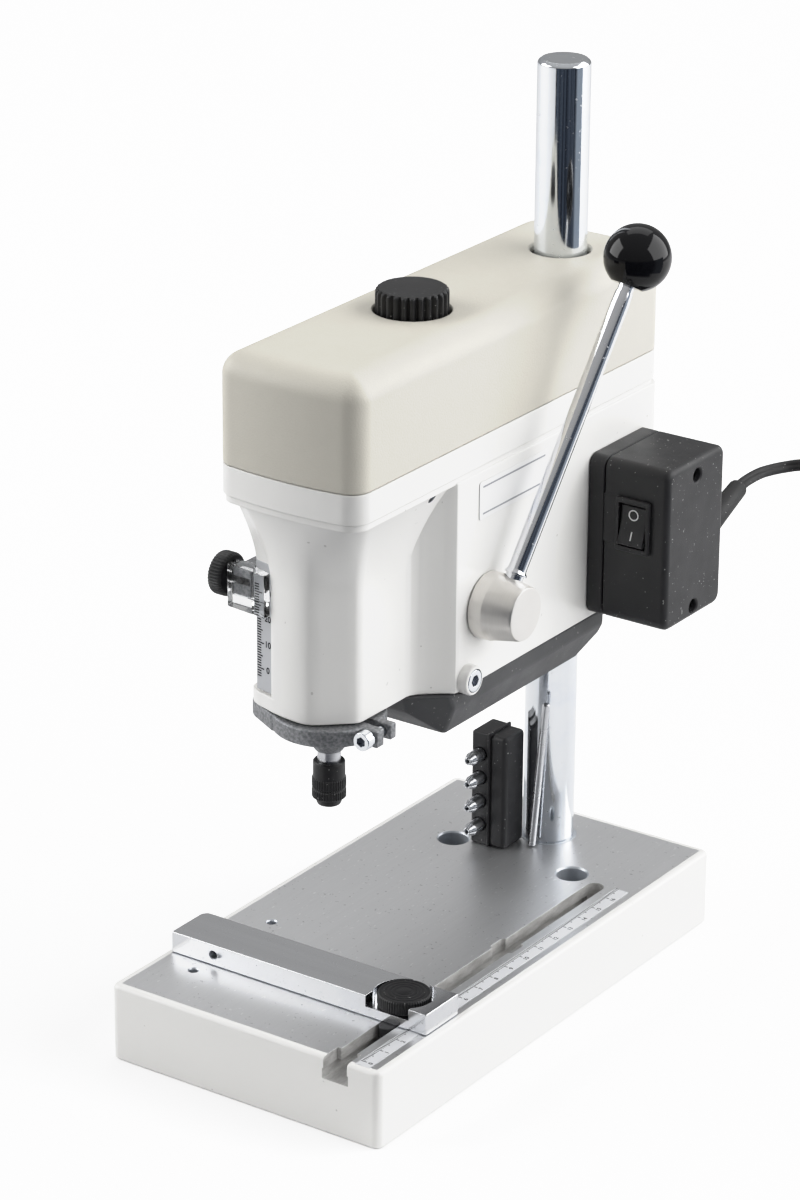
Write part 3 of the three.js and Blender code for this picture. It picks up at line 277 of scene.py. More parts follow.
STICKER_GREY = plain("sticker_grey", (0.30, 0.31, 0.33), 0.32, grain=300, depth=0.01, vary=0.05)
COPPER = plain("windings", (0.55, 0.27, 0.13), 0.38, 0.9, grain=1200, depth=0.08, vary=0.3)
BARE = plain("bare_casting", (0.55, 0.58, 0.62), 0.38, 0.7, grain=400, depth=0.05, vary=0.15)
ACRYLIC = acrylic()


# ---- Outlines, in millimetres
def rounded(points, radius, steps=5):
    """The closed polygon with its corners curved; radius is one value or one per corner."""
    out = []
    count = len(points)
    for i, point in enumerate(points):
        here = Vector(point)
        r = radius[i] if isinstance(radius, (list, tuple)) else radius
        before = Vector(points[i - 1]) - here
        after = Vector(points[(i + 1) % count]) - here
        r = min(r, before.length * 0.49, after.length * 0.49)
        if r < 1e-4:
            out.append(tuple(here))
            continue
        a = here + before.normalized() * r
        b = here + after.normalized() * r
        for k in range(steps + 1):
            t = k / steps
            wa, wb, wm = (1 - t) ** 2, t * t, 2 * t * (1 - t) * math.sqrt(0.5)
            out.append(tuple((a * wa + here * wm + b * wb) / (wa + wb + wm)))
    return out


def rectangle(x0, y0, x1, y1, radius=0.0, steps=5):
    return rounded([(x0, y0), (x1, y0), (x1, y1), (x0, y1)], radius, steps)


def circle(r, at=(0, 0), count=64):
    turn = 2 * math.pi / count
    return [(at[0] + r * math.cos(i * turn), at[1] + r * math.sin(i * turn)) for i in range(count)]


def inset(points, distance):
    """The closed outline moved inwards (it runs anticlockwise)."""
    out = []
    count = len(points)
    for i, point in enumerate(points):
        here = Vector(point)
        a = here - Vector(points[i - 1])
        b = Vector(points[(i + 1) % count]) - here
        if a.length < 1e-6:
            a = b
        if b.length < 1e-6:
            b = a
        na = Vector((-a.y, a.x)).normalized()
        nb = Vector((-b.y, b.x)).normalized()
        way = na + nb
        if way.length < 1e-6:
            way = na
        way.normalize()
        out.append(tuple(here + way * distance / max(way.dot(na), 0.35)))
    return out


def soften(profile, radius, steps=4):
    """An open profile for a turned body with its inner corners rounded."""
    return rounded(profile, [0] + [radius] * (len(profile) - 2) + [0], steps)


def lerp(a, b, t):
    return a + (b - a) * t


def arc(r, at, start, end, steps):
    """Points round the centre from the start angle to the end angle, in degrees."""
    angles = [math.radians(lerp(start, end, k / steps)) for k in range(steps + 1)]
    return [(at[0] + r * math.cos(a), at[1] + r * math.sin(a)) for a in angles]


# ---- Pieces
def lay(axis, u, v, w):
    """A point whose height w runs along the axis; u, v are the plane's own coordinates."""
    return {"z": (u, v, w), "x": (w, u, v), "y": (v, w, u)}[axis]


def link(name, data):
    obj = bpy.data.objects.new(name, data)
    bpy.context.scene.collection.objects.link(obj)
    return obj


def mesh_object(name, vertices, faces):
    mesh = bpy.data.meshes.new(name)
    mesh.from_pydata(vertices, [], faces)
    return link(name, mesh)


def build(name, rings, closed_ends=True, around=True):
    """A mesh from rings of points, joined one to the next."""
    count = len(rings[0])
    vertices = [tuple(c * MM for c in p) for ring in rings for p in ring]
    faces = []
    for i in range(len(rings) - 1):
        for k in range(count if around else count - 1):
            n = (k + 1) % count
            faces.append((i * count + k, i * count + n, (i + 1) * count + n, (i + 1) * count + k))
    if closed_ends:
        faces.append(tuple(reversed(range(count))))
        last = (len(rings) - 1) * count
        faces.append(tuple(last + k for k in range(count)))
    return tidy(mesh_object(name, vertices, faces))


def tidy(obj, angle=32):
    """Welds the mesh, turns its faces out, and smooths all but its sharp edges."""
    bm = bmesh.new()
    bm.from_mesh(obj.data)
    bmesh.ops.remove_doubles(bm, verts=bm.verts, dist=2e-6)
    bmesh.ops.recalc_face_normals(bm, faces=bm.faces)
    bm.to_mesh(obj.data)
    bm.free()
    obj.data.shade_smooth()
    obj.data.set_sharp_from_angle(angle=math.radians(angle))
    return obj


def slab(name, outline, low, high, edge=0.4, axis="z", edge_low=None, steps=3):
    """The outline raised from low to high, its two rims rounded."""
    first = edge if edge_low is None else edge_low
    rings = []
    for k in range(steps + 1):
        a = math.pi / 2 * k / steps
        rings.append((inset(outline, first * (1 - math.sin(a))), low + first * (1 - math.cos(a))))
    for k in range(steps + 1):
        a = math.pi / 2 * (1 - k / steps)
        rings.append((inset(outline, edge * (1 - math.sin(a))), high - edge * (1 - math.cos(a))))
    return build(name, [[lay(axis, u, v, w) for u, v in ring] for ring, w in rings])


def block(name, low, high, edge=0.3, corner=0.5, axis="z"):
    """A box with rounded corners about the axis and softened rims."""
    order = {"z": (0, 1, 2), "x": (1, 2, 0), "y": (2, 0, 1)}[axis]
    (u0, v0, w0), (u1, v1, w1) = [[c[i] for i in order] for c in (low, high)]
    return slab(name, rectangle(u0, v0, u1, v1, corner), w0, w1, edge, axis)


def turned(name, profile, at, axis="z", segments=64, ribs=0, depth=0.0, from_r=0.0):
    """A body of revolution; profile is [radius, distance] from the axis back to the axis.
    With ribs, every point outside from_r is drawn in between the ribs by depth."""
    count = ribs * 8 if ribs else segments
    rings = []
    for r, d in profile:
        ring = []
        for k in range(count):
            a = 2 * math.pi * k / count
            wave = depth * (0.5 - 0.5 * math.cos(math.pi * k / 4)) ** 2 if ribs and r > from_r else 0.0
            radius = max(r - wave, 0.0)
            offset = lay(axis, radius * math.cos(a), radius * math.sin(a), d)
            ring.append(tuple(o + p for o, p in zip(offset, at)))
        rings.append(ring)
    return build(name, rings, closed_ends=False)


def rod(name, r, low, high, at, axis="z", chamfer=0.3, segments=48):
    profile = [(0, low), (r - chamfer, low), (r, low + chamfer), (r, high - chamfer)]
    profile += [(r - chamfer, high), (0, high)]
    return turned(name, profile, at, axis, segments)


def apply_modifiers(obj):
    evaluated = obj.evaluated_get(bpy.context.evaluated_depsgraph_get())
    mesh = bpy.data.meshes.new_from_object(evaluated)
    obj.modifiers.clear()
    obj.data = mesh
    return obj


def drill(r, low, high, at, axis="z", segments=48):
    """A plain cylinder to cut with."""
    return rod("drill", r, low, high, at, axis, 0, segments)


def bay(low, high, corner=0, edge=0):
    """A box to cut with."""
    return block("bay", low, high, edge, corner)


def cross(at, axis, low, high, arm, width):
    """Two crossed blades about the axis through the point, to cut with."""
    ends = [[(sign * a, sign * b, w) for sign, w in ((-1, low), (1, high))]
            for a, b in ((width, arm), (arm, width))]
    return [bay(*[tuple(map(sum, zip(at, lay(axis, *end)))) for end in pair]) for pair in ends]


def combine(obj, tools, operation="DIFFERENCE"):
    """Cuts the tools from obj, or joins them to it; the tools are used up."""
    for tool in tools:
        m = obj.modifiers.new("shape", "BOOLEAN")
        m.operation = operation
        m.object = tool
        m.solver = "EXACT"
        m.material_mode = "TRANSFER"
        apply_modifiers(obj)
        bpy.data.objects.remove(tool)
    return tidy(obj)


def cut(obj, *tools, lining=None):
    """Cuts the tools away; a new face takes its tool's material, or the lining where it has none."""
    for tool in tools:
        if lining and not tool.data.materials:
            coat(tool, lining)
    return combine(obj, tools)


def weld(obj, *tools):
    return combine(obj, tools, "UNION")


def hull(name, points, bevel):
    """The smallest convex body round the points, with its edges bevelled."""
    bm = bmesh.new()
    for p in points:
        bm.verts.new([c * MM for c in p])
    bmesh.ops.convex_hull(bm, input=bm.verts)
    loose = [v for v in bm.verts if not v.link_faces]
    bmesh.ops.delete(bm, geom=loose, context="VERTS")
    bmesh.ops.dissolve_limit(bm, angle_limit=0.02, verts=bm.verts, edges=bm.edges)
    mesh = bpy.data.meshes.new(name)
    bm.to_mesh(mesh)
    bm.free()
    obj = link(name, mesh)
    m = obj.modifiers.new("edge", "BEVEL")
    m.width = bevel * MM
    m.segments = 4
    m.limit_method = "ANGLE"
    m.angle_limit = math.radians(12)
    m.use_clamp_overlap = True
    return tidy(apply_modifiers(obj))


def coat(obj, material):
    obj.data.materials.clear()
    obj.data.materials.append(material)
    return obj


def join(name, pieces):
    """One object from several, each keeping its material."""
    bpy.ops.object.select_all(action="DESELECT")
    for piece in pieces:
        piece.select_set(True)
    bpy.context.view_layer.objects.active = pieces[0]
    bpy.ops.object.join()
    pieces[0].name = name
    return pieces[0]


def fit(obj, body, *nodes, slot=None):
    """Hands the finished piece to its CAD body in place of the nodes it stands for."""
    even = obj.modifiers.new("even_shading", "WEIGHTED_NORMAL")
    even.keep_sharp = True
    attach(obj, body)
    if nodes:
        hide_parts(*nodes)
    return obj


def lettering(name, text, size, matrix, bold=0.0):
    """Thin raised figures laid by the matrix (text runs along its x, upright along its y)."""
    curve = bpy.data.curves.new(name, "FONT")
    curve.body = text
    curve.size = size * MM
    curve.extrude = 0.01 * MM
    curve.offset = bold * MM
    curve.align_x = "CENTER"
    curve.align_y = "CENTER"
    made = link(name + "_curve", curve)
    bpy.context.view_layer.update()
    evaluated = made.evaluated_get(bpy.context.evaluated_depsgraph_get())
    mesh = bpy.data.meshes.new_from_object(evaluated)
    mesh.transform(matrix)
    bpy.data.objects.remove(made)
    return coat(link(name, mesh), INK)


def facing(origin, right, up):
    """A matrix that lays text at origin, running along right with its top towards up."""
    right = Vector(right).normalized()
    up = Vector(up)
    up = (up - right * up.dot(right)).normalized()
    out = right.cross(up)
    turn = Matrix((right, up, out)).transposed().to_4x4()
    return Matrix.Translation(Vector(origin) * MM) @ turn


def bar_marks(name, marks):
    """Thin raised bars; each is its centre, two half extents, and the way and height it stands up."""
    vertices, faces = [], []
    for centre, across, along, out in marks:
        start = len(vertices)
        for lift in (0, 1):
            for i, j in ((-1, -1), (1, -1), (1, 1), (-1, 1)):
                point = Vector(centre) + Vector(across) * i + Vector(along) * j + Vector(out) * lift
                vertices.append(point * MM)
        faces.append([start + k for k in (4, 5, 6, 7)])
        for k in range(4):
            n = (k + 1) % 4
            faces.append([start + k, start + n, start + 4 + n, start + 4 + k])
    return coat(mesh_object(name, vertices, faces), INK)


def tick(k, ten, five, one):
    """The length of a scale's mark: the longest at the tens, then the fives, then the rest."""
    return ten if k % 10 == 0 else five if k % 5 == 0 else one


def socket_head(name, r, length, at, axis, flip, shank, shank_length):
    """A zinc cap screw: outer face at "at", shank running along the axis, or back along it."""
    sign = -1 if flip else 1
    head = [(0, 0), (r, 0), (r, length), (shank, length), (shank, shank_length), (0, shank_length)]
    profile = [(x, sign * d) for x, d in soften(head, 0.35, 3)]
    body = turned(name, profile, at, axis, 48)
    six = circle(r * 0.56, count=6)
    depth = sorted((-0.5 * sign, length * 0.7 * sign))
    tool = build(name + "_tool", [
        [tuple(a + b for a, b in zip(lay(axis, u, v, w), at)) for u, v in six] for w in depth
    ])
    # The hex socket is lined with the dark colour as painted shade in the recess.
    return cut(coat(body, ZINC), tool, lining=RECESS_SHADE)


# ---- Base, table and column
def base_casting():
    outline = rectangle(-60, -112.5, 60, 112.5, 3.2, 6)
    levels = [(0.5, 0.0), (0.0, 0.6), (0.0, 28.7), (0.25, 29.5), (0.8, 30.05), (1.5, 30.3), (2.9, 30.3)]
    body = coat(build("base_casting", [[(x, y, z) for x, y in inset(outline, d)] for d, z in levels]), PAINT)
    body.data.materials.append(MILLED)
    for face in body.data.polygons:
        if len(face.vertices) > 8 and face.normal.z > 0.9:
            face.material_index = 1
    pockets = [bay((x0, y0, -2), (x1, y1, 15), 3, 2)
               for x0, x1 in ((-53, -3), (3, 53)) for y0, y1 in ((-105.5, -3), (3, 48))]
    slot = [
        bay((35.4, -114, 21.6), (46.6, 58.7, 25.6)),  # the T's head
        bay((37.5, -114, 21.6), (44.5, 58.7, 34)),
        drill(3.5, 21.6, 34, (41, 58.7, 0)),
        bay((35.9, -114, 21.6), (46.1, -103.7, 34)),  # the open mouth
        bay((36.1, -7, 21.6), (45.9, 2, 34), 1.4),  # where the bolt goes in
    ]

    def flared(r, low, foot, lip, at, segments):
        profile = [(0, low), (r, low), (r, foot), (r + lip, 30.5), (r + lip, 33), (0, 33)]
        return turned("hole", profile, at, segments=segments)

    holes = [flared(6, -1, 29.7, 0.8, (x, 63.2, 0), 48) for x in (-27.6, 27.6)]
    holes += [flared(1.8, 20, 29.8, 0.6, (-42, y, 0), 24) for y in (-86, -37.5)]
    holes.append(rod("screw_pocket", 9, -1, 5.5, COLUMN))
    cut(body, *pockets, *[coat(t, SLOT) for t in slot], *holes, lining=BARE)
    fit(body, "base", "base_casting", slot="paint")


def column():
    profile = [(0, 8.3), (9.9, 8.3), (9.9, 30.4), (10, 30.5), (10, 342.4), (9.6, 343.2), (8.6, 344)]
    body = turned("column", profile + [(0, 344)], COLUMN, segments=96)
    fit(coat(body, CHROME), "base", "column", slot="column_steel")
    ring = [(10.05, 30.2), (11.2, 30.32), (11.3, 30.36), (10.05, 30.42)]
    fit(coat(turned("column_seat", ring, COLUMN, segments=72), BARE), "base", slot="steel")
    screw = socket_head("column_screw", 7, 4.8, (0, COLUMN_Y, 0.4), "z", False, 4, 27)
    fit(screw, "base", "column_screw", slot="steel")


def table_scale():
    """The strip beside the slot: a mark each millimetre, longer at five and ten, figures at ten."""
    strip = block("fence_scale", (48.0, -110.2, 30.28), (54.2, 62, 30.36), 0.02, 0.4)
    fit(coat(strip, STRIP), "base", "fence_scale", slot="strip")
    marks, figures = [], []
    for k in range(170):
        y = -107 + k
        half = tick(k, 1.25, 0.95, 0.65)
        marks.append(((48.4 + half, y, 30.355), (half, 0, 0), (0, 0.2, 0), (0, 0, 0.02)))
        if k % 10 == 0:
            where = facing((52.6, y, 30.365), (0, 1, 0), (-1, 0, 0))
            figures.append(lettering("figure", str(k // 10), 2.4, where, 0.04))
    fit(join("fence_scale_marks", [bar_marks("marks", marks)] + figures), "base", slot="strip")


def fence():
    """The ground bar, its lower edge painted dark as shade where it sits on the table, with the black tongue
    and the T bolt below it.
    """
    outline = rectangle(-57.5, -79, 57, -58.5, [0.5, 0.5, 0.5, 3.0], 4)
    bar = coat(slab("fence", outline, 30.4, 38.8, 0.35, edge_low=0.45), POLISHED)
    # The downward faces along the bar's foot take the dark colour: painted shade in the gap under the bar.
    bar.data.materials.append(RECESS_SHADE)
    for face in bar.data.polygons:
        if face.center.z < 30.84 * MM and face.normal.z < -0.05:
            face.material_index = 1
    scallop = turned("scallop", [(0, 34.3), (11.6, 34.3), (11.6, 45), (0, 45)], (41, -69.6, 0))
    seat = [scallop, bay((30.5, -85, 34.3), (49.3, -70, 45)), drill(3.1, 30, 40, FENCE_BOLT)]
    tap = [drill(1.6, -80, -66, FENCE_TAP, "y", 24),
           turned("sink", [(0, -79.5), (2.3, -79.5), (1.6, -78.6), (0, -78.6)], FENCE_TAP, "y", 32)]
    cut(bar, *[coat(t, POLISHED) for t in seat], *tap, lining=BARE)
    outline = [(38, -62), *arc(3, (41, -80.5), 180, 360, 16), (44, -62)]
    tongue = coat(slab("tongue", outline, 26.7, 30.45, 0.3), BLACK)
    fit(join("fence", [bar, tongue]), "fence", "fence", slot="fence_steel")
    bolt = coat(rod("fence_bolt_shank", 2.85, 24, 38, FENCE_BOLT), STEEL)
    nut = coat(block("fence_bolt_nut", (36, -74.5, 22), (46, -64.5, 25), 0.4, 0.8), STEEL)
    fit(join("fence_bolt", [bolt, nut]), "fence", "fence_bolt", slot="steel")


def fence_knob():
    profile = soften([(3.05, 34.6), (9.8, 34.6), (9.95, 35.2), (9.95, 39.0), (9.3, 39.7)], 0.3)
    for r in (8.2, 6.6, 5.0, 3.4):
        profile += [(r, 39.75), (r - 0.25, 39.62), (r - 0.5, 39.75)]
    profile = [(0, 36.5), (3.05, 36.5)] + profile + [(0, 39.8)]
    knob = turned("fence_knob", profile, FENCE_BOLT, ribs=60, depth=0.28, from_r=9.4)
    fit(coat(knob, KNURL), "fence_knob", "fence_knob", slot="black")


# ---- Collet case and bar
def collet_case():
    front, rear, mid = 64.5, 79.0, -12.3
    low = coat(slab("case_a", rectangle(-20.5, front, mid, rear, 1.0), 30.4, 78, 0.8), BLACK)
    high = coat(slab("case_b", rectangle(-12.6, front + 0.3, -4.8, rear - 0.3, 2.0), 30.4, 77.6, 1.6), BLACK)
    lip = coat(slab("case_lip", rectangle(-13, front - 0.4, -11.9, rear + 0.4, 0.4), 30.4, 78.4, 0.3), BLACK)
    holes = [drill(3, front - 1, front + 8.5, (SPARE_X, 0, z), "y", 32) for z in SPARE_HEIGHTS]
    cut(low, *holes, lining=BLACK)
    fit(join("collet_case", [low, high, lip]), "base", "collet_case", slot="black")
    y = front - 9
    profile = soften([(0.9, y + 0.1), (1.5, y), (2.1, y + 1.6), (2.7, y + 2.8), (2.7, y + 16.5),
                      (0.9, y + 16.5)], 0.25)
    for i, z in enumerate(SPARE_HEIGHTS):
        name, at = f"spare_collet_{i + 1}", (SPARE_X, 0, z)
        body = coat(turned(name, [(0.9, y + 16.5)] + profile, at, "y", 40), STEEL)
        cut(body, *cross(at, "y", y - 1, y + 7.5, 3.5, 0.22), lining=BARE)
        fit(body, "base", name, slot="steel")


def tommy_bar():
    bar = rod("tommy_bar", 1.5, 0, 62, (0, 0, 0), chamfer=0.5, segments=32)
    lean = Matrix.Translation(Vector((1.6, 74.6, 30.8)) * MM) @ Matrix.Rotation(math.radians(5), 4, "Y")
    bar.data.transform(lean)
    fit(coat(bar, STEEL), "base", "tommy_bar", slot="steel")


# ---- Head
def head_outline(shrink=0.0):
    """The plan of the rim and cover: a bowed front, rounded corners, a slightly bowed rear."""
    x0, x1 = HEAD_X - 31 + shrink, HEAD_X + 31 - shrink
    front, back = -79.4 + shrink, 121.0 - shrink
    r = max(8.5 - shrink, 1.2)

    def bow(start, end, y, depth, steps):
        shares = [k / steps for k in range(steps + 1)]
        return [(lerp(start, end, t), y + depth * (1 - (2 * t - 1) ** 2)) for t in shares]

    def corner(x, y, start):
        return arc(r, (x, y), start, start + 90, 8)[1:-1]

    points = bow(x0 + r, x1 - r, front, -1.6, 12) + corner(x1 - r, front + r, -90)
    points += [(x1, front + r), (x1, 20), (x1, back - r)] + corner(x1 - r, back - r, 0)
    points += bow(x1 - r, x0 + r, back, 0.5, 6) + corner(x0 + r, back - r, 90)
    points += [(x0, back - r), (x0, 20), (x0, front + r)] + corner(x0 + r, front + r, 180)
    return points


def nose_right():
    """Plan points (at the foot, at the rim) from the middle of the front round to the side."""
    return [
        ((-4.6, -71.2), (-4.6, -80.6)), ((-2.0, -70.9), (2.0, -80.4)), ((0.4, -70.0), (8.0, -79.9)),
        ((3.0, -67.9), (13.5, -79.0)), ((6.4, -64.8), (18.5, -78.3)), ((9.6, -62.0), (22.3, -75.6)),
        ((11.7, -60.1), (24.6, -72.6)), ((12.8, -58.6), (25.7, -69.0)), ((13.2, -56.2), (25.9, -65.5)),
        ((13.3, -44.0), (25.9, -50.0)), ((13.4, -31.0), (25.9, -34.0)), ((13.4, -8.0), (25.9, -8.0)),
    ]


def nose_left():
    """The same on the left, where the depth rail sits, set back behind the nose's own edge."""
    return [
        ((-8.2, -71.0), (-11.0, -80.4)), ((-12.6, -70.4), (-17.0, -79.9)), ((-16.8, -69.4), (-22.5, -79.0)),
        ((-18.2, -68.9), (-25.5, -78.2)), ((-18.9, -68.2), (-28.0, -77.2)), ((-19.2, -66.5), (-30.0, -76.0)),
        ((-26.9, -64.8), (-32.6, -73.6)), ((-27.6, -64.2), (-34.0, -70.8)), ((-27.6, -58.0), (-34.9, -66.0)),
        ((-24.6, -50.0), (-35.1, -58.0)), ((-22.4, -47.0), (-35.1, -50.0)), ((-22.4, -31.0), (-35.1, -34.0)),
        ((-22.4, -8.0), (-35.1, -8.0)),
    ]


def nose_body():
    """The upright nose, drawn out to the rim from the height where its flare starts."""
    pairs = nose_left()[::-1] + nose_right()
    start, rim, steps = 184.0, 218.2, 16
    rings = []
    for z in [133.99, 134.5, 150, 170, 180] + [lerp(start, rim, k / steps) for k in range(steps + 1)]:
        t = max(0.0, (z - start) / (rim - start))
        share = 0.93 * t ** 1.75 + 0.07 * t
        tuck = 0.5 if z < 134.2 else 0.0  # the foot's edge turns in
        ring = []
        for low, high in pairs:
            x, y = lerp(low[0], high[0], share), lerp(low[1], high[1], share)
            ring.append((x + (HEAD_X - x) * tuck * 0.02, y + tuck * 0.4, z))
        rings.append(ring)
    return build("nose", rings)


def side_body():
    """The long body with its two side panels and the curved necks in front of them."""
    right = [(13.3, -31), (13.9, -28.2), (15.6, -25.6), (18.6, -22.8), (22.2, -19.9), (25.0, -17.9)]
    right += [(26.1, -16.9), (26.4, -15.4), (26.4, 20), (26.4, 60)] + arc(7, (26.4 - 7, 114), 0, 90, 8)
    left = [(2 * HEAD_X - x, y) for x, y in reversed(right)]
    return slab("sides", right + [(HEAD_X, 121.5)] + left, 134, 215.7, 0.5)


def head_housing():
    """The cast head: nose, sides, rim, rail foot, screw bosses and cover post, then bores and bays."""
    body = coat(side_body(), PAINT)
    rim = slab("rim", head_outline(), 217.6, 229, 0.25, edge_low=0.6)
    neck = slab("neck", head_outline(0.9), 215, 218.4, 0)
    foot = rounded([(-31.4, -62.4), (-28.9, -65.2), (-26.2, -66.6), (-17.7, -69.3), (-11, -70.6), (-11, -56),
                    (-31.4, -57)], [0.8, 1.0, 0.5, 0.5, 0, 0, 0.8], 3)
    ledge = slab("ledge", foot, 134, 139.4, 0.4)
    boss_r = [(0, 20), (5.7, 20), (5.7, 29.4), (5.3, 30.2), (4.7, 30.4), (0, 30.4)]
    boss_l = [(r, 2 * HEAD_X - d) for r, d in reversed(boss_r)]
    bosses = [turned("boss", p, CASING_SCREW, "x", 48) for p in (boss_r, boss_l)]
    post = rod("post", 6, 228.6, 257.5, POST, chamfer=0.5)
    weld(body, *[coat(p, PAINT) for p in (nose_body(), neck, rim, ledge, *bosses, post)])
    tools = [
        drill(12.58, 130, 209, SPINDLE, segments=64),
        drill(14.08, 130, 260, COLUMN, segments=64),
        coat(bay((-32.5, -12, 130), (23.3, 66, 221), 3), PAINT),  # for the motor
        bay((-19.3, -34, 130), (10.2, -11, 221), 1),  # for the feed rack
        coat(bay((-32.5, 106, 130), (23.3, 117.5, 221), 3), PAINT),
        bay((HEAD_X - 3.6, SPINDLE_Y + 8, 130), (HEAD_X + 3.6, -30, 221)),
        drill(7.5, -50, 40, FEED, "x"),
        drill(9, 205, 230, SPINDLE),
        drill(13.3, 213, 232, SPINDLE),
        drill(8, 215, 232, (HEAD_X, MOTOR_Y, 0)),
        drill(3.2, 240, 262, POST),
        drill(3.4, 176, 209, DEPTH_ROD),
        drill(1.9, 14, 30, (0, -28, 212.7), "x", 24),
        drill(4.5, 26, 33, CASING_SCREW, "x"),
        drill(4.5, -43, -35.3, CASING_SCREW, "x"),
        drill(4, -40, -30, (0, 111, 178), "x"),
        bay((-0.8, 101, 130), (0.8, 107, 221)),  # the column clamp's split
    ]
    cut(body, *tools, lining=BARE)
    body.name = "head_housing"
    fit(body, "head", "head_housing", slot="paint")


def motor_casing():
    """The dark belly under the head, cut round the column and hollow for the motor and the sector."""
    top, mid, low = 133.7, 127.5, 115.0
    half = [(17.4, -30.6, top), (30.3, -19.4, top), (30.3, 90.5, top), (30.2, -16.5, mid), (30.2, 90.5, mid),
            (24, -13.5, low), (24, 75, low), (16, -26.5, mid - 1.5)]
    points = [(HEAD_X + s * x, y, z) for x, y, z in half for s in (-1, 1)]
    body = coat(hull("motor_casing", points, 1.1), CASING)
    tools = [
        drill(15.5, 100, 150, COLUMN),
        bay((-60, 84, 100), (60, 120, 150)),
        bay((HEAD_X - 22.5, -8, 117.6), (HEAD_X + 22.5, 66, 150), 2, 1),
        drill(42.5, HEAD_X - 7.5, HEAD_X + 7.5, FEED, "x", 96),
        *[drill(6.1, x - 8, x + 8, CASING_SCREW, "x") for x in (HEAD_X - 31, HEAD_X + 31)],
        *[bay((HEAD_X - 16, y, 110), (HEAD_X + 16, y + 2.6, 119), 1.2) for y in range(8, 64, 8)],
    ]
    cut(body, *tools, lining=CASING)
    fit(body, "head", "motor_casing", slot="dark")
    for side, name in ((1, "casing_screw_right"), (-1, "casing_screw_left")):
        at = (HEAD_X + side * 35.1, *CASING_SCREW[1:])
        fit(socket_head(name, 4.2, 3.6, at, "x", side > 0, 2.5, 11), "head", name, slot="column_steel")
    clamp = socket_head("head_clamp_screw", 4, 4.5, (-14.8, 111, 178), "x", False, 3, 23)
    fit(clamp, "head", "head_clamp_screw", slot="column_steel")


def side_label():
    """A plain generic sticker: white, with a thin grey line near its top and one near its foot."""
    x = 26.5
    sheet = slab("side_label", rectangle(-3.6, 197.2, 41.6, 211.8, 1.0), x, x + 0.25, 0.05, "x")
    lines = [slab("line", rectangle(-1.4, z, 39.4, z + 0.7, 0.2), x + 0.2, x + 0.3, 0.02, "x")
             for z in (199.0, 209.3)]
    parts = [coat(sheet, STICKER)] + [coat(line, STICKER_GREY) for line in lines]
    fit(join("side_label", parts), "head", "side_label", slot="strip")


def depth_scale():
    """The silver strip on the rail, with a mark each millimetre from the foot up."""
    start, end = Vector((-27.3, -65.05)), Vector((-19.3, -66.85))
    way = (end - start).normalized()
    out = Vector((way.y, -way.x))
    corners = [start + out * 0.05, end + out * 0.05, end + out * 0.35, start + out * 0.35]
    strip = coat(slab("depth_scale", [tuple(c) for c in reversed(corners)], 140, 190, 0.05), SILVER)
    fit(strip, "head", "depth_scale", slot="strip")
    marks, figures = [], []
    for k in range(-3, 34):
        z, length = 148.5 + k, tick(k, 3.6, 2.9, 2.1)
        centre = start + out * 0.36 + way * (0.4 + length / 2)
        half = way * (length / 2)
        marks.append(((*centre, z), (*half, 0), (0, 0, 0.25), (*(out * 0.03), 0)))
        if k % 10 == 0:
            where = facing((*(start + out * 0.39 + way * 6.1), z), (*way, 0), (0, 0, 1))
            figures.append(lettering("figure", str(k), 3.4, where, 0.07))
    fit(join("depth_scale_marks", [bar_marks("marks", marks)] + figures), "head", slot="strip")


# ---- Belt cover
def belt_cover():
    def shell(shrink, low, top, edge, lip):
        rings = [[(x, y, low) for x, y in head_outline(shrink + 0.4)]]
        rings.append([(x, y, low + 0.4) for x, y in head_outline(shrink)])
        for k in range(9):
            a = math.pi / 16 * k
            plan = head_outline(shrink + edge * (1 - math.cos(a)))
            rings.append([(x, y, top - lip + lip * math.sin(a)) for x, y in plan])
        return coat(build("shell", rings), COVER)

    def opening(profile, at):
        return turned("opening", [(0, profile[0][1]), *profile, (0, 280)], at, segments=72)

    body = shell(0, 229.25, 271, 11.0, 9.0)
    body.name = "belt_cover"
    cavity = cut(shell(2.6, 220, 268.2, 9.0, 7.0), drill(17.2, 261, 269, POST), lining=COVER)
    recess = opening([(14.0, 263.2), (14.2, 263.6), (14.2, 270.4), (14.7, 271.1), (14.7, 280)], POST)
    way = opening([(11.45, 220), (11.45, 270.3), (12.2, 271.2), (12.2, 280)], COLUMN)
    cut(body, cavity, recess, drill(3.8, 250, 280, POST), way, lining=COVER)
    fit(body, "cover", "belt_cover", slot="cover")


def cover_knob():
    profile = [(0, 270.5), (3.1, 270.5), (3.1, 264.4), (12.4, 264.4), (13.3, 265.2), (13.4, 266)]
    profile += [(13.4, 277.4), (13.1, 278.5), (12.2, 279.1), (11.2, 279.2), (9.8, 278.7), (3, 278.5)]
    knob = turned("cover_knob", profile + [(0, 278.5)], POST, ribs=26, depth=1.25, from_r=12.3)
    fit(coat(knob, KNURL), "cover_knob", "cover_knob", slot="black")
    fit(coat(rod("cover_stud", 3, 242, 270, POST), STEEL), "head", "cover_stud", slot="steel")


# ---- Drive
def wheel(name, steps, at, bore):
    """A stepped pulley with a shallow lip between its steps."""
    foot, pitch = 237.0, 7
    profile = [(bore, foot)]
    for i, r in enumerate(steps):
        z = foot + i * pitch
        profile += [(r - 0.5, z), (r, z + 0.5), (r, z + 6.4), (r - 0.4, z + 6.9)]
    top = foot + len(steps) * pitch
    profile += [(steps[-1] - 0.6, top + 0.9), (steps[-1] - 1.4, top + 1), (bore, top + 1), (bore, foot)]
    return coat(turned(name, profile, at, segments=96), ALUMINIUM)


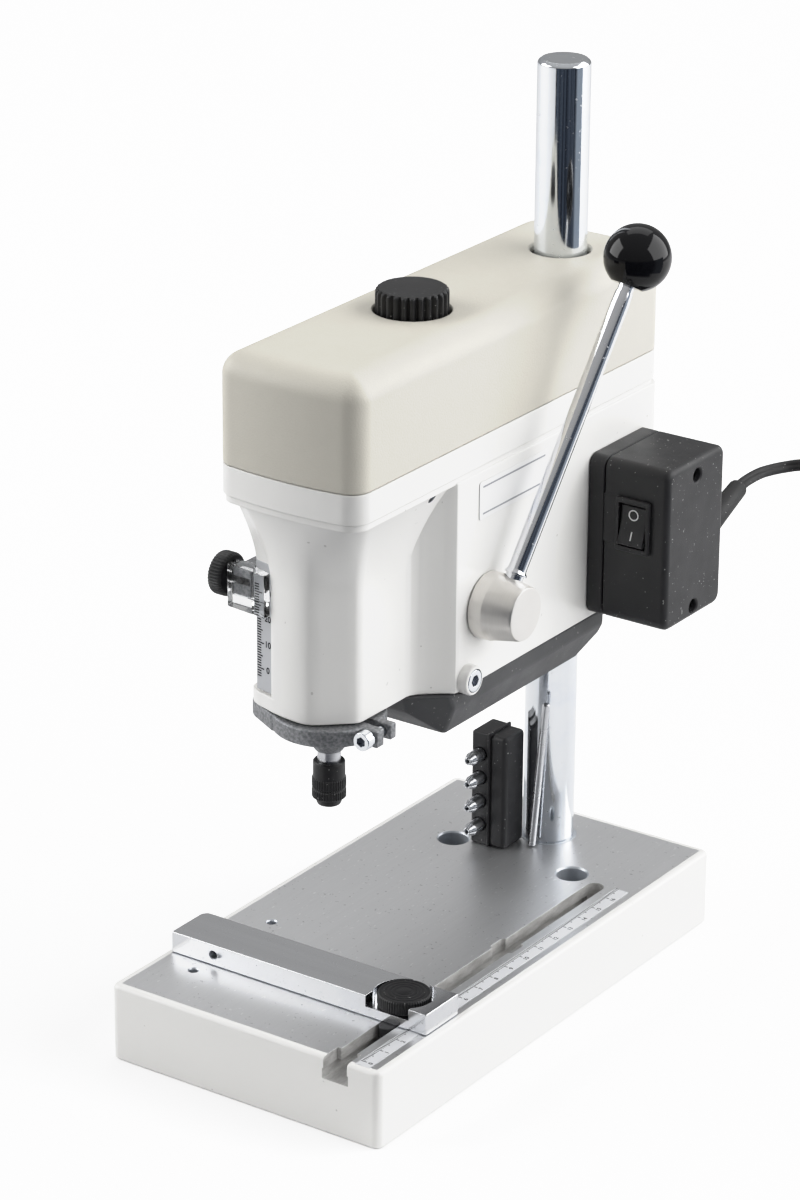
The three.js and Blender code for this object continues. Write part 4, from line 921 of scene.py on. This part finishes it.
def drive():
    motor = (HEAD_X, MOTOR_Y, 0)
    ring = [(4.2, 210), (8, 210), (8, 251), (4.2, 251), (4.2, 210)]
    sleeve = coat(turned("sleeve", ring, SPINDLE, segments=64), ALUMINIUM)
    pulley = join("spindle_pulley", [wheel("spindle_pulley", (9.5, 13.6, 20.5), SPINDLE, 4.3), sleeve])
    fit(pulley, "pulley", "spindle_pulley", slot="alu")
    fit(wheel("motor_pulley", (20.5, 16.4, 9.5), motor, 3.1), "motor", "motor_pulley", slot="alu")
    r0, r1 = 13.9, 16.7  # the belt's middle steps
    tilt = math.degrees(math.asin((r1 - r0) / (MOTOR_Y - SPINDLE_Y)))

    def loop(extra):
        near = arc(r0 + extra, SPINDLE, 180 + tilt, 360 - tilt, 24)
        return near + arc(r1 + extra, motor, -tilt, 180 + tilt, 24)

    belt = coat(slab("drive_belt", loop(3.0), 245.6, 250.0, 0.3), BELT)
    cut(belt, slab("inside", loop(0.05), 240, 255, 0), lining=BELT)
    fit(belt, "head", "drive_belt", slot="rubber")


# ---- Lever
def along_lever(obj, material):
    """Turns a body made along +Z from the hub's axis onto the lever rod's line."""
    splay = Matrix.Rotation(math.radians(6.1), 4, "Y")
    lean = Matrix.Rotation(-math.radians(28), 4, "X")
    obj.data.transform(Matrix.Translation(Vector((33.6, *FEED[1:])) * MM) @ lean @ splay)
    return coat(obj, material)


def lever():
    profile = [(0, 26.75), (12.3, 26.75), (12.6, 27.1), (12.6, 32.0), (12.3, 32.7), (10.3, 43.0)]
    profile += [(9.9, 43.8), (9.2, 44.0), (0, 44.0)]
    hub = coat(turned("lever_hub", profile, FEED, "x", 96), HUB)
    hole = along_lever(turned("hole", [(0, 6.9), (3.75, 6.9), (3.75, 24), (0, 24)], (0, 0, 0)), HUB)
    fit(cut(hub, hole, drill(5.05, 20, 39.6, FEED, "x"), lining=HUB), "lever", "lever_hub", slot="alu")
    arm = [(0, 7.2), (3.4, 7.2), (3.4, 13.2), (4.25, 13.2), (4.25, 13.9), (3.7, 14.6), (3.5, 15.4)]
    arm += [(3.5, 118), (3.3, 122.4), (3.0, 123), (3.0, 129.4), (0, 129.4)]
    bar = along_lever(turned("lever_rod", arm, (0, 0, 0), segments=64), LEVER)
    fit(bar, "lever", "lever_rod", slot="column_steel")
    c, r, flat = 136.0, 12.5, 10.9
    sphere = [(0, c - 5.4), (3.2, c - 5.4), (3.2, c - flat), (5.4, c - flat)]
    for k in range(25):
        a = lerp(math.acos(flat / r), math.pi, k / 24)
        sphere.append((r * math.sin(a) if k < 24 else 0, c - r * math.cos(a)))
    ball = along_lever(turned("lever_ball", sphere, (0, 0, 0), segments=72), GLOSS)
    fit(ball, "lever", "lever_ball", slot="gloss")


# ---- Quill, collet and depth stop
def quill():
    tube = [(9.5, 124.2), (12.1, 124), (12.5, 124.5), (12.5, 204.6), (12.1, 205), (9.5, 205), (9.5, 124.2)]
    body = coat(turned("quill", tube, SPINDLE, segments=72), STEEL)
    way = bay((HEAD_X - 3.3, SPINDLE_Y + 10.4, 135), (HEAD_X + 3.3, SPINDLE_Y + 20, 210))
    fit(cut(body, way, lining=STEEL), "quill", "quill", slot="steel")
    cap = soften([(4.9, 117.5), (5.2, 117.5), (7.5, 121), (9.3, 121.6), (9.3, 123.8), (4.9, 123.8)], 0.3)
    cap = coat(turned("quill_cap", cap + [(4.9, 117.5)], SPINDLE, segments=72), CAST)
    fit(cap, "quill", "quill_cap", slot="cast")
    shaft = [(2, 100), (3.4, 100), (4.3, 103), (4.3, 118), (4.6, 118.5), (4.6, 206), (0, 206), (0, 112)]
    shaft = turned("spindle_round", shaft + [(2, 112), (2, 100)], SPINDLE, segments=48)
    six = [(HEAD_X + x, SPINDLE_Y + y) for x, y in circle(4.04, count=6)]
    drive_end = slab("spindle_hex", six, 205.5, 266, 0.3)
    fit(join("spindle", [coat(shaft, STEEL), coat(drive_end, STEEL)]), "spindle", "spindle", slot="steel")
    jaws = [(0.9, 96.6), (2.4, 96.6), (2.7, 97), (3.2, 99.6), (1.9, 99.8), (1.9, 111), (0.9, 111)]
    collet = coat(turned("collet", jaws + [(0.9, 96.6)], SPINDLE, segments=40), STEEL)
    cut(collet, *cross(SPINDLE, "z", 95, 106, 4, 0.2), lining=STEEL)
    fit(collet, "spindle", "collet", slot="steel")


def collet_nut():
    def band(low, high):
        return [(6.0, low), (6.3, low + 0.3), (6.3, high - 0.3), (6.0, high)]

    profile = [(3.4, 95.9), (4.2, 95.9), (4.6, 96.6), (5.1, 98.4)] + band(98.6, 102.0)
    profile += [(5.8, 102.15), (5.8, 102.45)] + band(102.6, 106.6)
    profile += [(5.9, 106.8), (5.9, 112.6), (5.5, 113.1), (4.45, 113.1), (4.45, 101.9), (3.4, 99.5)]
    nut = turned("collet_nut", profile + [(3.4, 95.9)], SPINDLE, ribs=40, depth=0.3, from_r=5.95)
    fit(coat(nut, KNURL), "collet_nut", "collet_nut", slot="black")


def stop_arm():
    """The cast clamp round the quill, with its split lugs and the seat for the depth rod."""
    ring = arc(21, SPINDLE, -128, 124, 42)
    reach = [(-34.0, -45.4), (-34.2, -59.3), (-31.6, -62.2), (-18.6, -69.2)]
    outline = ring + rounded([ring[-1], *reach, ring[0]], [0, 2, 2.5, 1.5, 3.0, 0], 4)[1:-1]
    body = coat(slab("stop_arm", outline, 126.6, 133.2, 0.9), CAST)
    front = coat(block("lug_front", (6, -59.8, 126.6), (21.6, -55.3, 133.2), 0.6, 0.6), CAST)
    back = coat(block("lug_back", (6, -51.3, 126.9), (21.6, -47.7, 132.9), 0.6, 0.6), CAST)
    weld(body, front, back)
    tools = [
        drill(12.56, 120, 140, SPINDLE, segments=72),
        bay((HEAD_X + 8, -55.3, 120), (30, -51.3, 140)),
        drill(2.2, -70, -40, LUG_SCREW, "y"),
        drill(4, -70, -60.1, LUG_SCREW, "y"),
        drill(2.56, 120, 140, DEPTH_ROD),
    ]
    fit(cut(body, *tools, lining=CAST), "quill", "stop_arm", slot="cast")
    screw = socket_head("stop_arm_screw", 3.5, 4.1, (17.6, -64.2, 129.8), "y", False, 2, 18)
    fit(screw, "quill", "stop_arm_screw", slot="column_steel")
    bar = coat(rod("depth_rod", 2.5, 126.8, 196.8, DEPTH_ROD, chamfer=0.5), STEEL)
    fit(bar, "quill", "depth_rod", slot="steel")


def depth_stop():
    """The clamp on the depth rod, its clear block with the reading line, and its thumb screw."""
    clamp = coat(block("stop_clamp", (-36.6, -66, 175.2), (-28, -47.6, 185.4), 0.4, 0.6), CAST)
    tools = [drill(2.56, 170, 190, DEPTH_ROD), bay((-38, -52.6, 170), (-31.5, -51.4, 190)),
             drill(2.1, -40, -28.6, STOP_SCREW, "x")]
    fit(cut(clamp, *tools, lining=CAST), "stop", "stop_clamp", slot="cast")
    outline = rounded([(-38.0, -69.0), (-26, -70.4), (-19.7, -70.6), (-19.7, -62.5), (-38.0, -62.5)], 0.8, 4)
    body = coat(slab("stop_block", outline, 170.5, 187, 0.6), ACRYLIC)
    rail = slab("rail", [(-28.3, -65.2), (-14.6, -69.4), (-14.6, -50), (-28.3, -50)], 160, 200, 0)
    tools = [rail, bay((-36.9, -66.3, 174.9), (-27.7, -50, 185.7), 0.4),
             drill(2.3, -41, -35, STOP_SCREW, "x")]
    fit(cut(body, *tools, lining=ACRYLIC), "stop", "stop_block", slot="clear")
    line = [((-23.8, -70.45, 176.5), (3.9, -0.35, 0), (0, 0, 0.14), (0.0, -0.03, 0))]
    fit(bar_marks("stop_line", line), "stop", slot="black")
    x = -38.4
    profile = [(0, x + 5.5), (1.9, x + 5.5), (1.9, x), (7.4, x), (8.0, x - 0.6), (8.2, x - 1.2)]
    profile += [(8.2, x - 5.0), (7.8, x - 5.8), (6.9, x - 6.2), (5.9, x - 6.0), (5.4, x - 5.7), (0, x - 5.7)]
    knob = turned("stop_screw", profile, STOP_SCREW, "x", ribs=40, depth=0.5, from_r=7.6)
    fit(coat(knob, KNURL), "stop_screw", "stop_screw", slot="black")


# ---- Switch box
def switch_box():
    outline = rectangle(70, 136.5, 110.5, 200.5, 4.2, 6)
    inner = inset(outline, 2.4)
    back = coat(slab("switch_box_base", outline, 26.7, 33.4, 0.6, "x", edge_low=0.2), BLACK)
    cut(back, slab("room", inner, 29, 40, 0, "x"), lining=BLACK)
    fit(back, "head", "switch_box_base", slot="black")
    front = coat(slab("switch_box_cover", outline, 33.85, 61.5, 2.4, "x", edge_low=0.6, steps=5), BLACK)
    cut(front, slab("room", inner, 30, 59, 0, "x"), lining=BLACK)
    weld(front, coat(block("tab", (33.5, 69.9, 167.7), (39.3, 75, 187), 0.4, 0.4), BLACK))
    well = [(0, 64), (3.3, 64), (3.3, 61.5), (2.75, 61.0), (2.75, 55.5), (0, 55.5)]
    tools = [bay((40.4, 66, 167.2), (53.4, 76, 186.4), 0.4), drill(4.2, 106, 114, GLAND, "y")]
    tools += [turned("well", well, at, "x", 40) for at in BOX_SCREWS.values()]
    fit(cut(front, *tools, lining=BLACK), "head", "switch_box_cover", slot="black")
    screw = [(0, 58.1), (2.0, 58.1), (2.4, 57.5), (2.4, 56.0), (1.4, 56), (1.4, 34.2), (0, 34.2)]
    for name, at in BOX_SCREWS.items():
        body = coat(turned(name, screw, at, "x", 40), ZINC)
        fit(cut(body, *cross(at, "x", 57.2, 59, 1.5, 0.28), lining=ZINC), "head", name, slot="black")
    plate = coat(block("switch_frame", (39.5, 68.3, 166.2), (54.3, 69.85, 187.4), 0.5, 0.8, "y"), BLACK)
    weld(plate, coat(block("tub", (40.6, 69.5, 167.4), (53.2, 83, 186.2), 0.3, 0.4, "y"), BLACK))
    cut(plate, bay((41.0, 60, 168.2), (52.8, 81, 185.4), 0.3), lining=BLACK)
    fit(plate, "head", "switch_frame", slot="black")


def rocker():
    """The rocker, with a ring above its pivot and a bar below it."""
    y, c = 71.0, 176.8
    side = rounded([(y + 4, c - 5), (y - 0.6, 169.5), (y - 4.3, 169.3), (y - 1.6, c), (y - 1.3, 184.5),
                    (y + 3, 183)], [0.5, 0.4, 0.5, 3.0, 0.6, 0.5], 4)
    body = coat(slab("switch_rocker", side[::-1], 41.3, 52.5, 0.5, "x"), BLACK)
    up = Vector((0, 0.3, 7.7)).normalized()
    marks = []
    for k in range(24):
        a = 2 * math.pi * (k + 0.5) / 24
        centre = Vector((ROCKER_X + 1.9 * math.cos(a), y - 1.5, 180.9)) + up * 1.9 * math.sin(a)
        across = (Vector((-math.sin(a), 0, 0)) + up * math.cos(a)) * 0.27
        along = (Vector((math.cos(a), 0, 0)) + up * math.sin(a)) * 0.24
        marks.append((centre, across, along, (0, -0.03, 0)))
    down = Vector((0, -2.7, -7.5)).normalized()
    out = Vector((0, -7.5, 2.7)).normalized() * 0.05
    marks.append((Vector((ROCKER_X, y - 2.98, 173.0)) + out, (0.24, 0, 0), down * 1.7, out))
    fit(body, "rocker", "switch_rocker", slot="black")
    fit(coat(bar_marks("rocker_marks", marks), PRINT_WHITE), "rocker", slot="black")


def cable_path():
    """The cable's line: out of the box, up through the sleeve, then back and round to the right."""
    x, _, z = GLAND
    rise = [(x, 111.5 + d * math.cos(CABLE_RISE), z + d * math.sin(CABLE_RISE)) for d in (0, 13.25, 26.5)]
    run = [(0.8, 146.5, 174.9), (2.4, 154, 175), (6.2, 161, 175.2), (12, 163.5, 176.4), (22, 161.5, 178)]
    return [(x, 106.5, z)] + rise + [(x + dx, y, level) for dx, y, level in run]


def smooth_path(points, steps=8):
    """Points along the curve that passes through the given ones."""
    p = [Vector(q) for q in points]
    p = [p[0] * 2 - p[1]] + p + [p[-1] * 2 - p[-2]]
    out = []
    for i in range(1, len(p) - 2):
        for k in range(steps):
            t = k / steps
            a, b, c, d = p[i - 1:i + 3]
            out.append(0.5 * (2 * b + (c - a) * t + (2 * a - 5 * b + 4 * c - d) * t * t
                              + (3 * b - a - 3 * c + d) * t ** 3))
    return out + [p[-2]]


def swept(name, path, section, twist=0.0):
    """The section carried along the path, turned evenly by twist from start to end."""
    side = Vector((1, 0, 0))
    rings = []
    for i, here in enumerate(path):
        way = (path[min(i + 1, len(path) - 1)] - path[max(i - 1, 0)]).normalized()
        side = (side - way * side.dot(way)).normalized()
        turn = Matrix.Rotation(twist * i / (len(path) - 1), 3, way)
        u, v = turn @ side, turn @ way.cross(side)
        rings.append([tuple(here + u * a + v * b) for a, b in section])
    return build(name, rings)


def cable():
    """A flat two-core cable in a plain moulded strain relief, cut off short."""
    collar = [(0, 107.6), (4, 107.5), (4, 110.9), (5.2, 110.9), (5.6, 111.3), (5.6, 112.6), (5.0, 113.2)]
    gland = coat(turned("cable_gland", collar + [(0, 113.3)], GLAND, "y", 48), RUBBER)
    sleeve = [(0, 2.4), (4.4, 2.4), (4.2, 8), (3.75, 25.3), (3.4, 26.3), (2.9, 26.5), (2.7, 25.2), (0, 25.2)]
    boot = coat(turned("boot", sleeve, (0, 0, 0), "y", 48), RUBBER)
    foot = Vector((GLAND[0], 110.9, GLAND[2])) * MM
    boot.data.transform(Matrix.Translation(foot) @ Matrix.Rotation(CABLE_RISE, 4, "X"))
    fit(weld(gland, boot), "head", "cable_gland", slot="rubber")
    section = []
    for k in range(40):
        a = 2 * math.pi * k / 40
        u = 2.35 * math.cos(a)
        valley = 1 - 0.26 * math.exp(-(u / 0.55) ** 2)  # between the two cores
        section.append((u, 1.45 * math.sin(a) * valley * (1 + 0.16 * math.cos(a) ** 2)))
    path = smooth_path(cable_path())
    parts = [coat(swept("power_cable", path, section, math.radians(62)), RUBBER)]
    tip, before = path[-1], path[-3]
    end = tip + (tip - before).normalized() * 1.6
    for off in (Vector((0, 0, -1.1)), Vector((0, 0, 1.1))):
        parts.append(coat(swept("core", [before + off, end + off], circle(0.55, count=16)), COPPER))
    fit(join("power_cable", parts), "head", "power_cable", slot="rubber")


# ---- Pieces shown as the CAD made them
CARRIED = {
    "column_bush": ALUMINIUM, "motor_can": STEEL, "pulley_bearing": STEEL, "feed_bush_right": HUB,
    "feed_bush_left": HUB, "return_spring": STEEL, "motor_rotor": STEEL, "feed_shaft": STEEL,
    "feed_sector": STEEL, "quill_rack": STEEL, "bearing_lower": STEEL, "bearing_upper": STEEL,
}


def carried_nodes():
    for name, material in CARRIED.items():
        coat(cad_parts[name], material)


# ---- Studio
def area(name, azimuth, height, distance, size, power):
    """A soft box on a bearing (0 is the operator's side, 90 the operator's right), aimed at the head."""
    a, e = math.radians(azimuth), math.radians(height)
    way = Vector((math.sin(a) * math.cos(e), -math.cos(a) * math.cos(e), math.sin(e)))
    light = bpy.data.lights.new(name, "AREA")
    light.shape = "RECTANGLE"
    light.size, light.size_y = size
    light.energy = power
    obj = link(name, light)
    obj.location = Vector((0, 0, 0.17)) + way * distance
    obj.rotation_euler = (-way).to_track_quat("-Z", "Y").to_euler()


def about_column(s):
    """The shaded point's x and y from the column, y towards the operator, and its bearing."""
    where = s.add("ShaderNodeSeparateXYZ", {0: s.place}).outputs
    x, y = where["X"], s.math("SUBTRACT", COLUMN_Y * MM, where["Y"])
    return x, y, s.math("ARCTAN2", x, y)


def floor_paper():
    """Pale paper; reflections and bounced light find it dark in the operator's corner of the room."""
    s = Shader("floor_paper")
    pale = s.mix(s.vary(3, 2), (0.93, 0.93, 0.935), (0.95, 0.95, 0.955))
    x, y, bearing = about_column(s)
    bearing = s.math("ADD", bearing, s.vary(14, 3, -0.05, 0.05))
    reach = s.math("SQRT", s.math("ADD", s.times(x, x), s.times(y, y)))
    inside = s.times(s.ramp(bearing, -0.06, 0.0), s.ramp(bearing, 1.52, 1.30))
    corner = s.times(inside, s.ramp(reach, 0.27, 0.33))
    room = s.mix(corner, (0.73, 0.73, 0.735), (0.035, 0.04, 0.055))
    seen = s.add("ShaderNodeLightPath").outputs["Is Camera Ray"]
    s.set(Base_Color=s.mix(seen, room, pale), Roughness=0.95, Specular_IOR_Level=0.0)
    s.set(Emission_Color=(1, 1, 1, 1), Emission_Strength=s.times(seen, s.ramp(reach, 0.3, 3.0, 0.35, 1.5)))
    return s.material


def dark_card():
    """A curved card round the operator's side, seen only in polished metal: dark, then dim at its end."""
    s = Shader("dark_card")
    folds = s.noise(30, 5, stretch=(1, 1, 0.10), rough=0.7)
    dark = s.mix(s.ramp(folds, 0.42, 0.66), (0.005, 0.007, 0.012), (0.09, 0.11, 0.145))
    bearing = about_column(s)[2]
    tone = s.mix(s.ramp(bearing, math.radians(84), math.radians(92)), dark, (0.27, 0.31, 0.36))
    s.set(Base_Color=(0, 0, 0, 1), Specular_IOR_Level=0.0, Emission_Color=tone, Emission_Strength=1.0)
    curve = arc(420, COLUMN, -92, 28, 48)
    card = build("dark_card", [[(x, y, z) for z in (2, 300)] for x, y in curve], False, False)
    coat(card, s.material)
    card.visible_camera = card.visible_diffuse = card.visible_shadow = card.visible_transmission = False


def studio():
    corners = [(-30, -30, 0), (30, -30, 0), (30, 30, 0), (-30, 30, 0)]
    floor = mesh_object("floor", corners, [(0, 1, 2, 3)])
    floor.location.z = -0.2 * MM
    coat(floor, floor_paper())
    world = bpy.data.worlds.new("studio")
    world.use_nodes = True
    tree = world.node_tree
    way = tree.nodes.new("ShaderNodeTexCoord").outputs["Generated"]
    up = tree.nodes.new("ShaderNodeSeparateXYZ")
    tree.links.new(way, up.inputs[0])
    glow = tree.nodes.new("ShaderNodeMapRange")  # brighter overhead than at the horizon
    for slot, value in ((1, 0.0), (2, 1.0), (3, 0.27), (4, 0.51)):
        glow.inputs[slot].default_value = value
    tree.links.new(up.outputs["Z"], glow.inputs[0])
    tree.links.new(glow.outputs[0], tree.nodes["Background"].inputs["Strength"])
    tree.nodes["Background"].inputs["Color"].default_value = (1, 1, 1, 1)
    bpy.context.scene.world = world
    area("right_box", 122, 26, 1.6, (2.2, 1.6), 43)
    area("left_box", -62, 26, 1.6, (1.3, 1.1), 21)
    area("rear_box", 205, 58, 1.5, (1.3, 0.9), 5)
    dark_card()


def roll_off():
    """Lets the brightest whites run out gently instead of clipping."""
    view = bpy.context.scene.view_settings
    view.view_transform = "Standard"
    view.use_curve_mapping = True
    soft = view.curve_mapping
    soft.clip_max_x = 4.0
    curve = soft.curves[3]
    curve.points[1].location = (2.2, 1.0)
    for x, y in ((0.72, 0.72), (1.0, 0.88), (1.5, 0.98)):
        curve.points.new(x, y)
    for point in curve.points:
        point.handle_type = "VECTOR"
    soft.update()


def camera():
    """The viewpoint, turned a little about the column, between the base's and the head's bearings."""
    centre = Vector((819.9, -1229.8, 767.0))
    right = Vector((0.8271, 0.5621, 0.0066))
    up = Vector((-0.2189, 0.3111, 0.9248))
    back = Vector((0.5178, -0.7663, 0.3804))
    orbit = Matrix.Rotation(math.radians(0.6), 3, "Z")
    pivot = Vector(COLUMN)
    place = pivot + orbit @ (centre - pivot)
    turn = Matrix([orbit @ right, orbit @ up, orbit @ back]).transposed().to_4x4()
    data = bpy.data.cameras.new("camera")
    data.sensor_fit = "VERTICAL"
    data.sensor_height = 36
    data.lens = 130.75
    data.clip_end = 100
    obj = link("camera", data)
    obj.matrix_world = Matrix.Translation(place * MM) @ turn
    bpy.context.scene.camera = obj


for make in (
    base_casting, column, table_scale, fence, fence_knob, collet_case, tommy_bar, head_housing,
    motor_casing, side_label, depth_scale, belt_cover, cover_knob, drive, lever, quill, collet_nut,
    stop_arm, depth_stop, switch_box, rocker, cable, carried_nodes, studio, roll_off, camera,
):
    make()
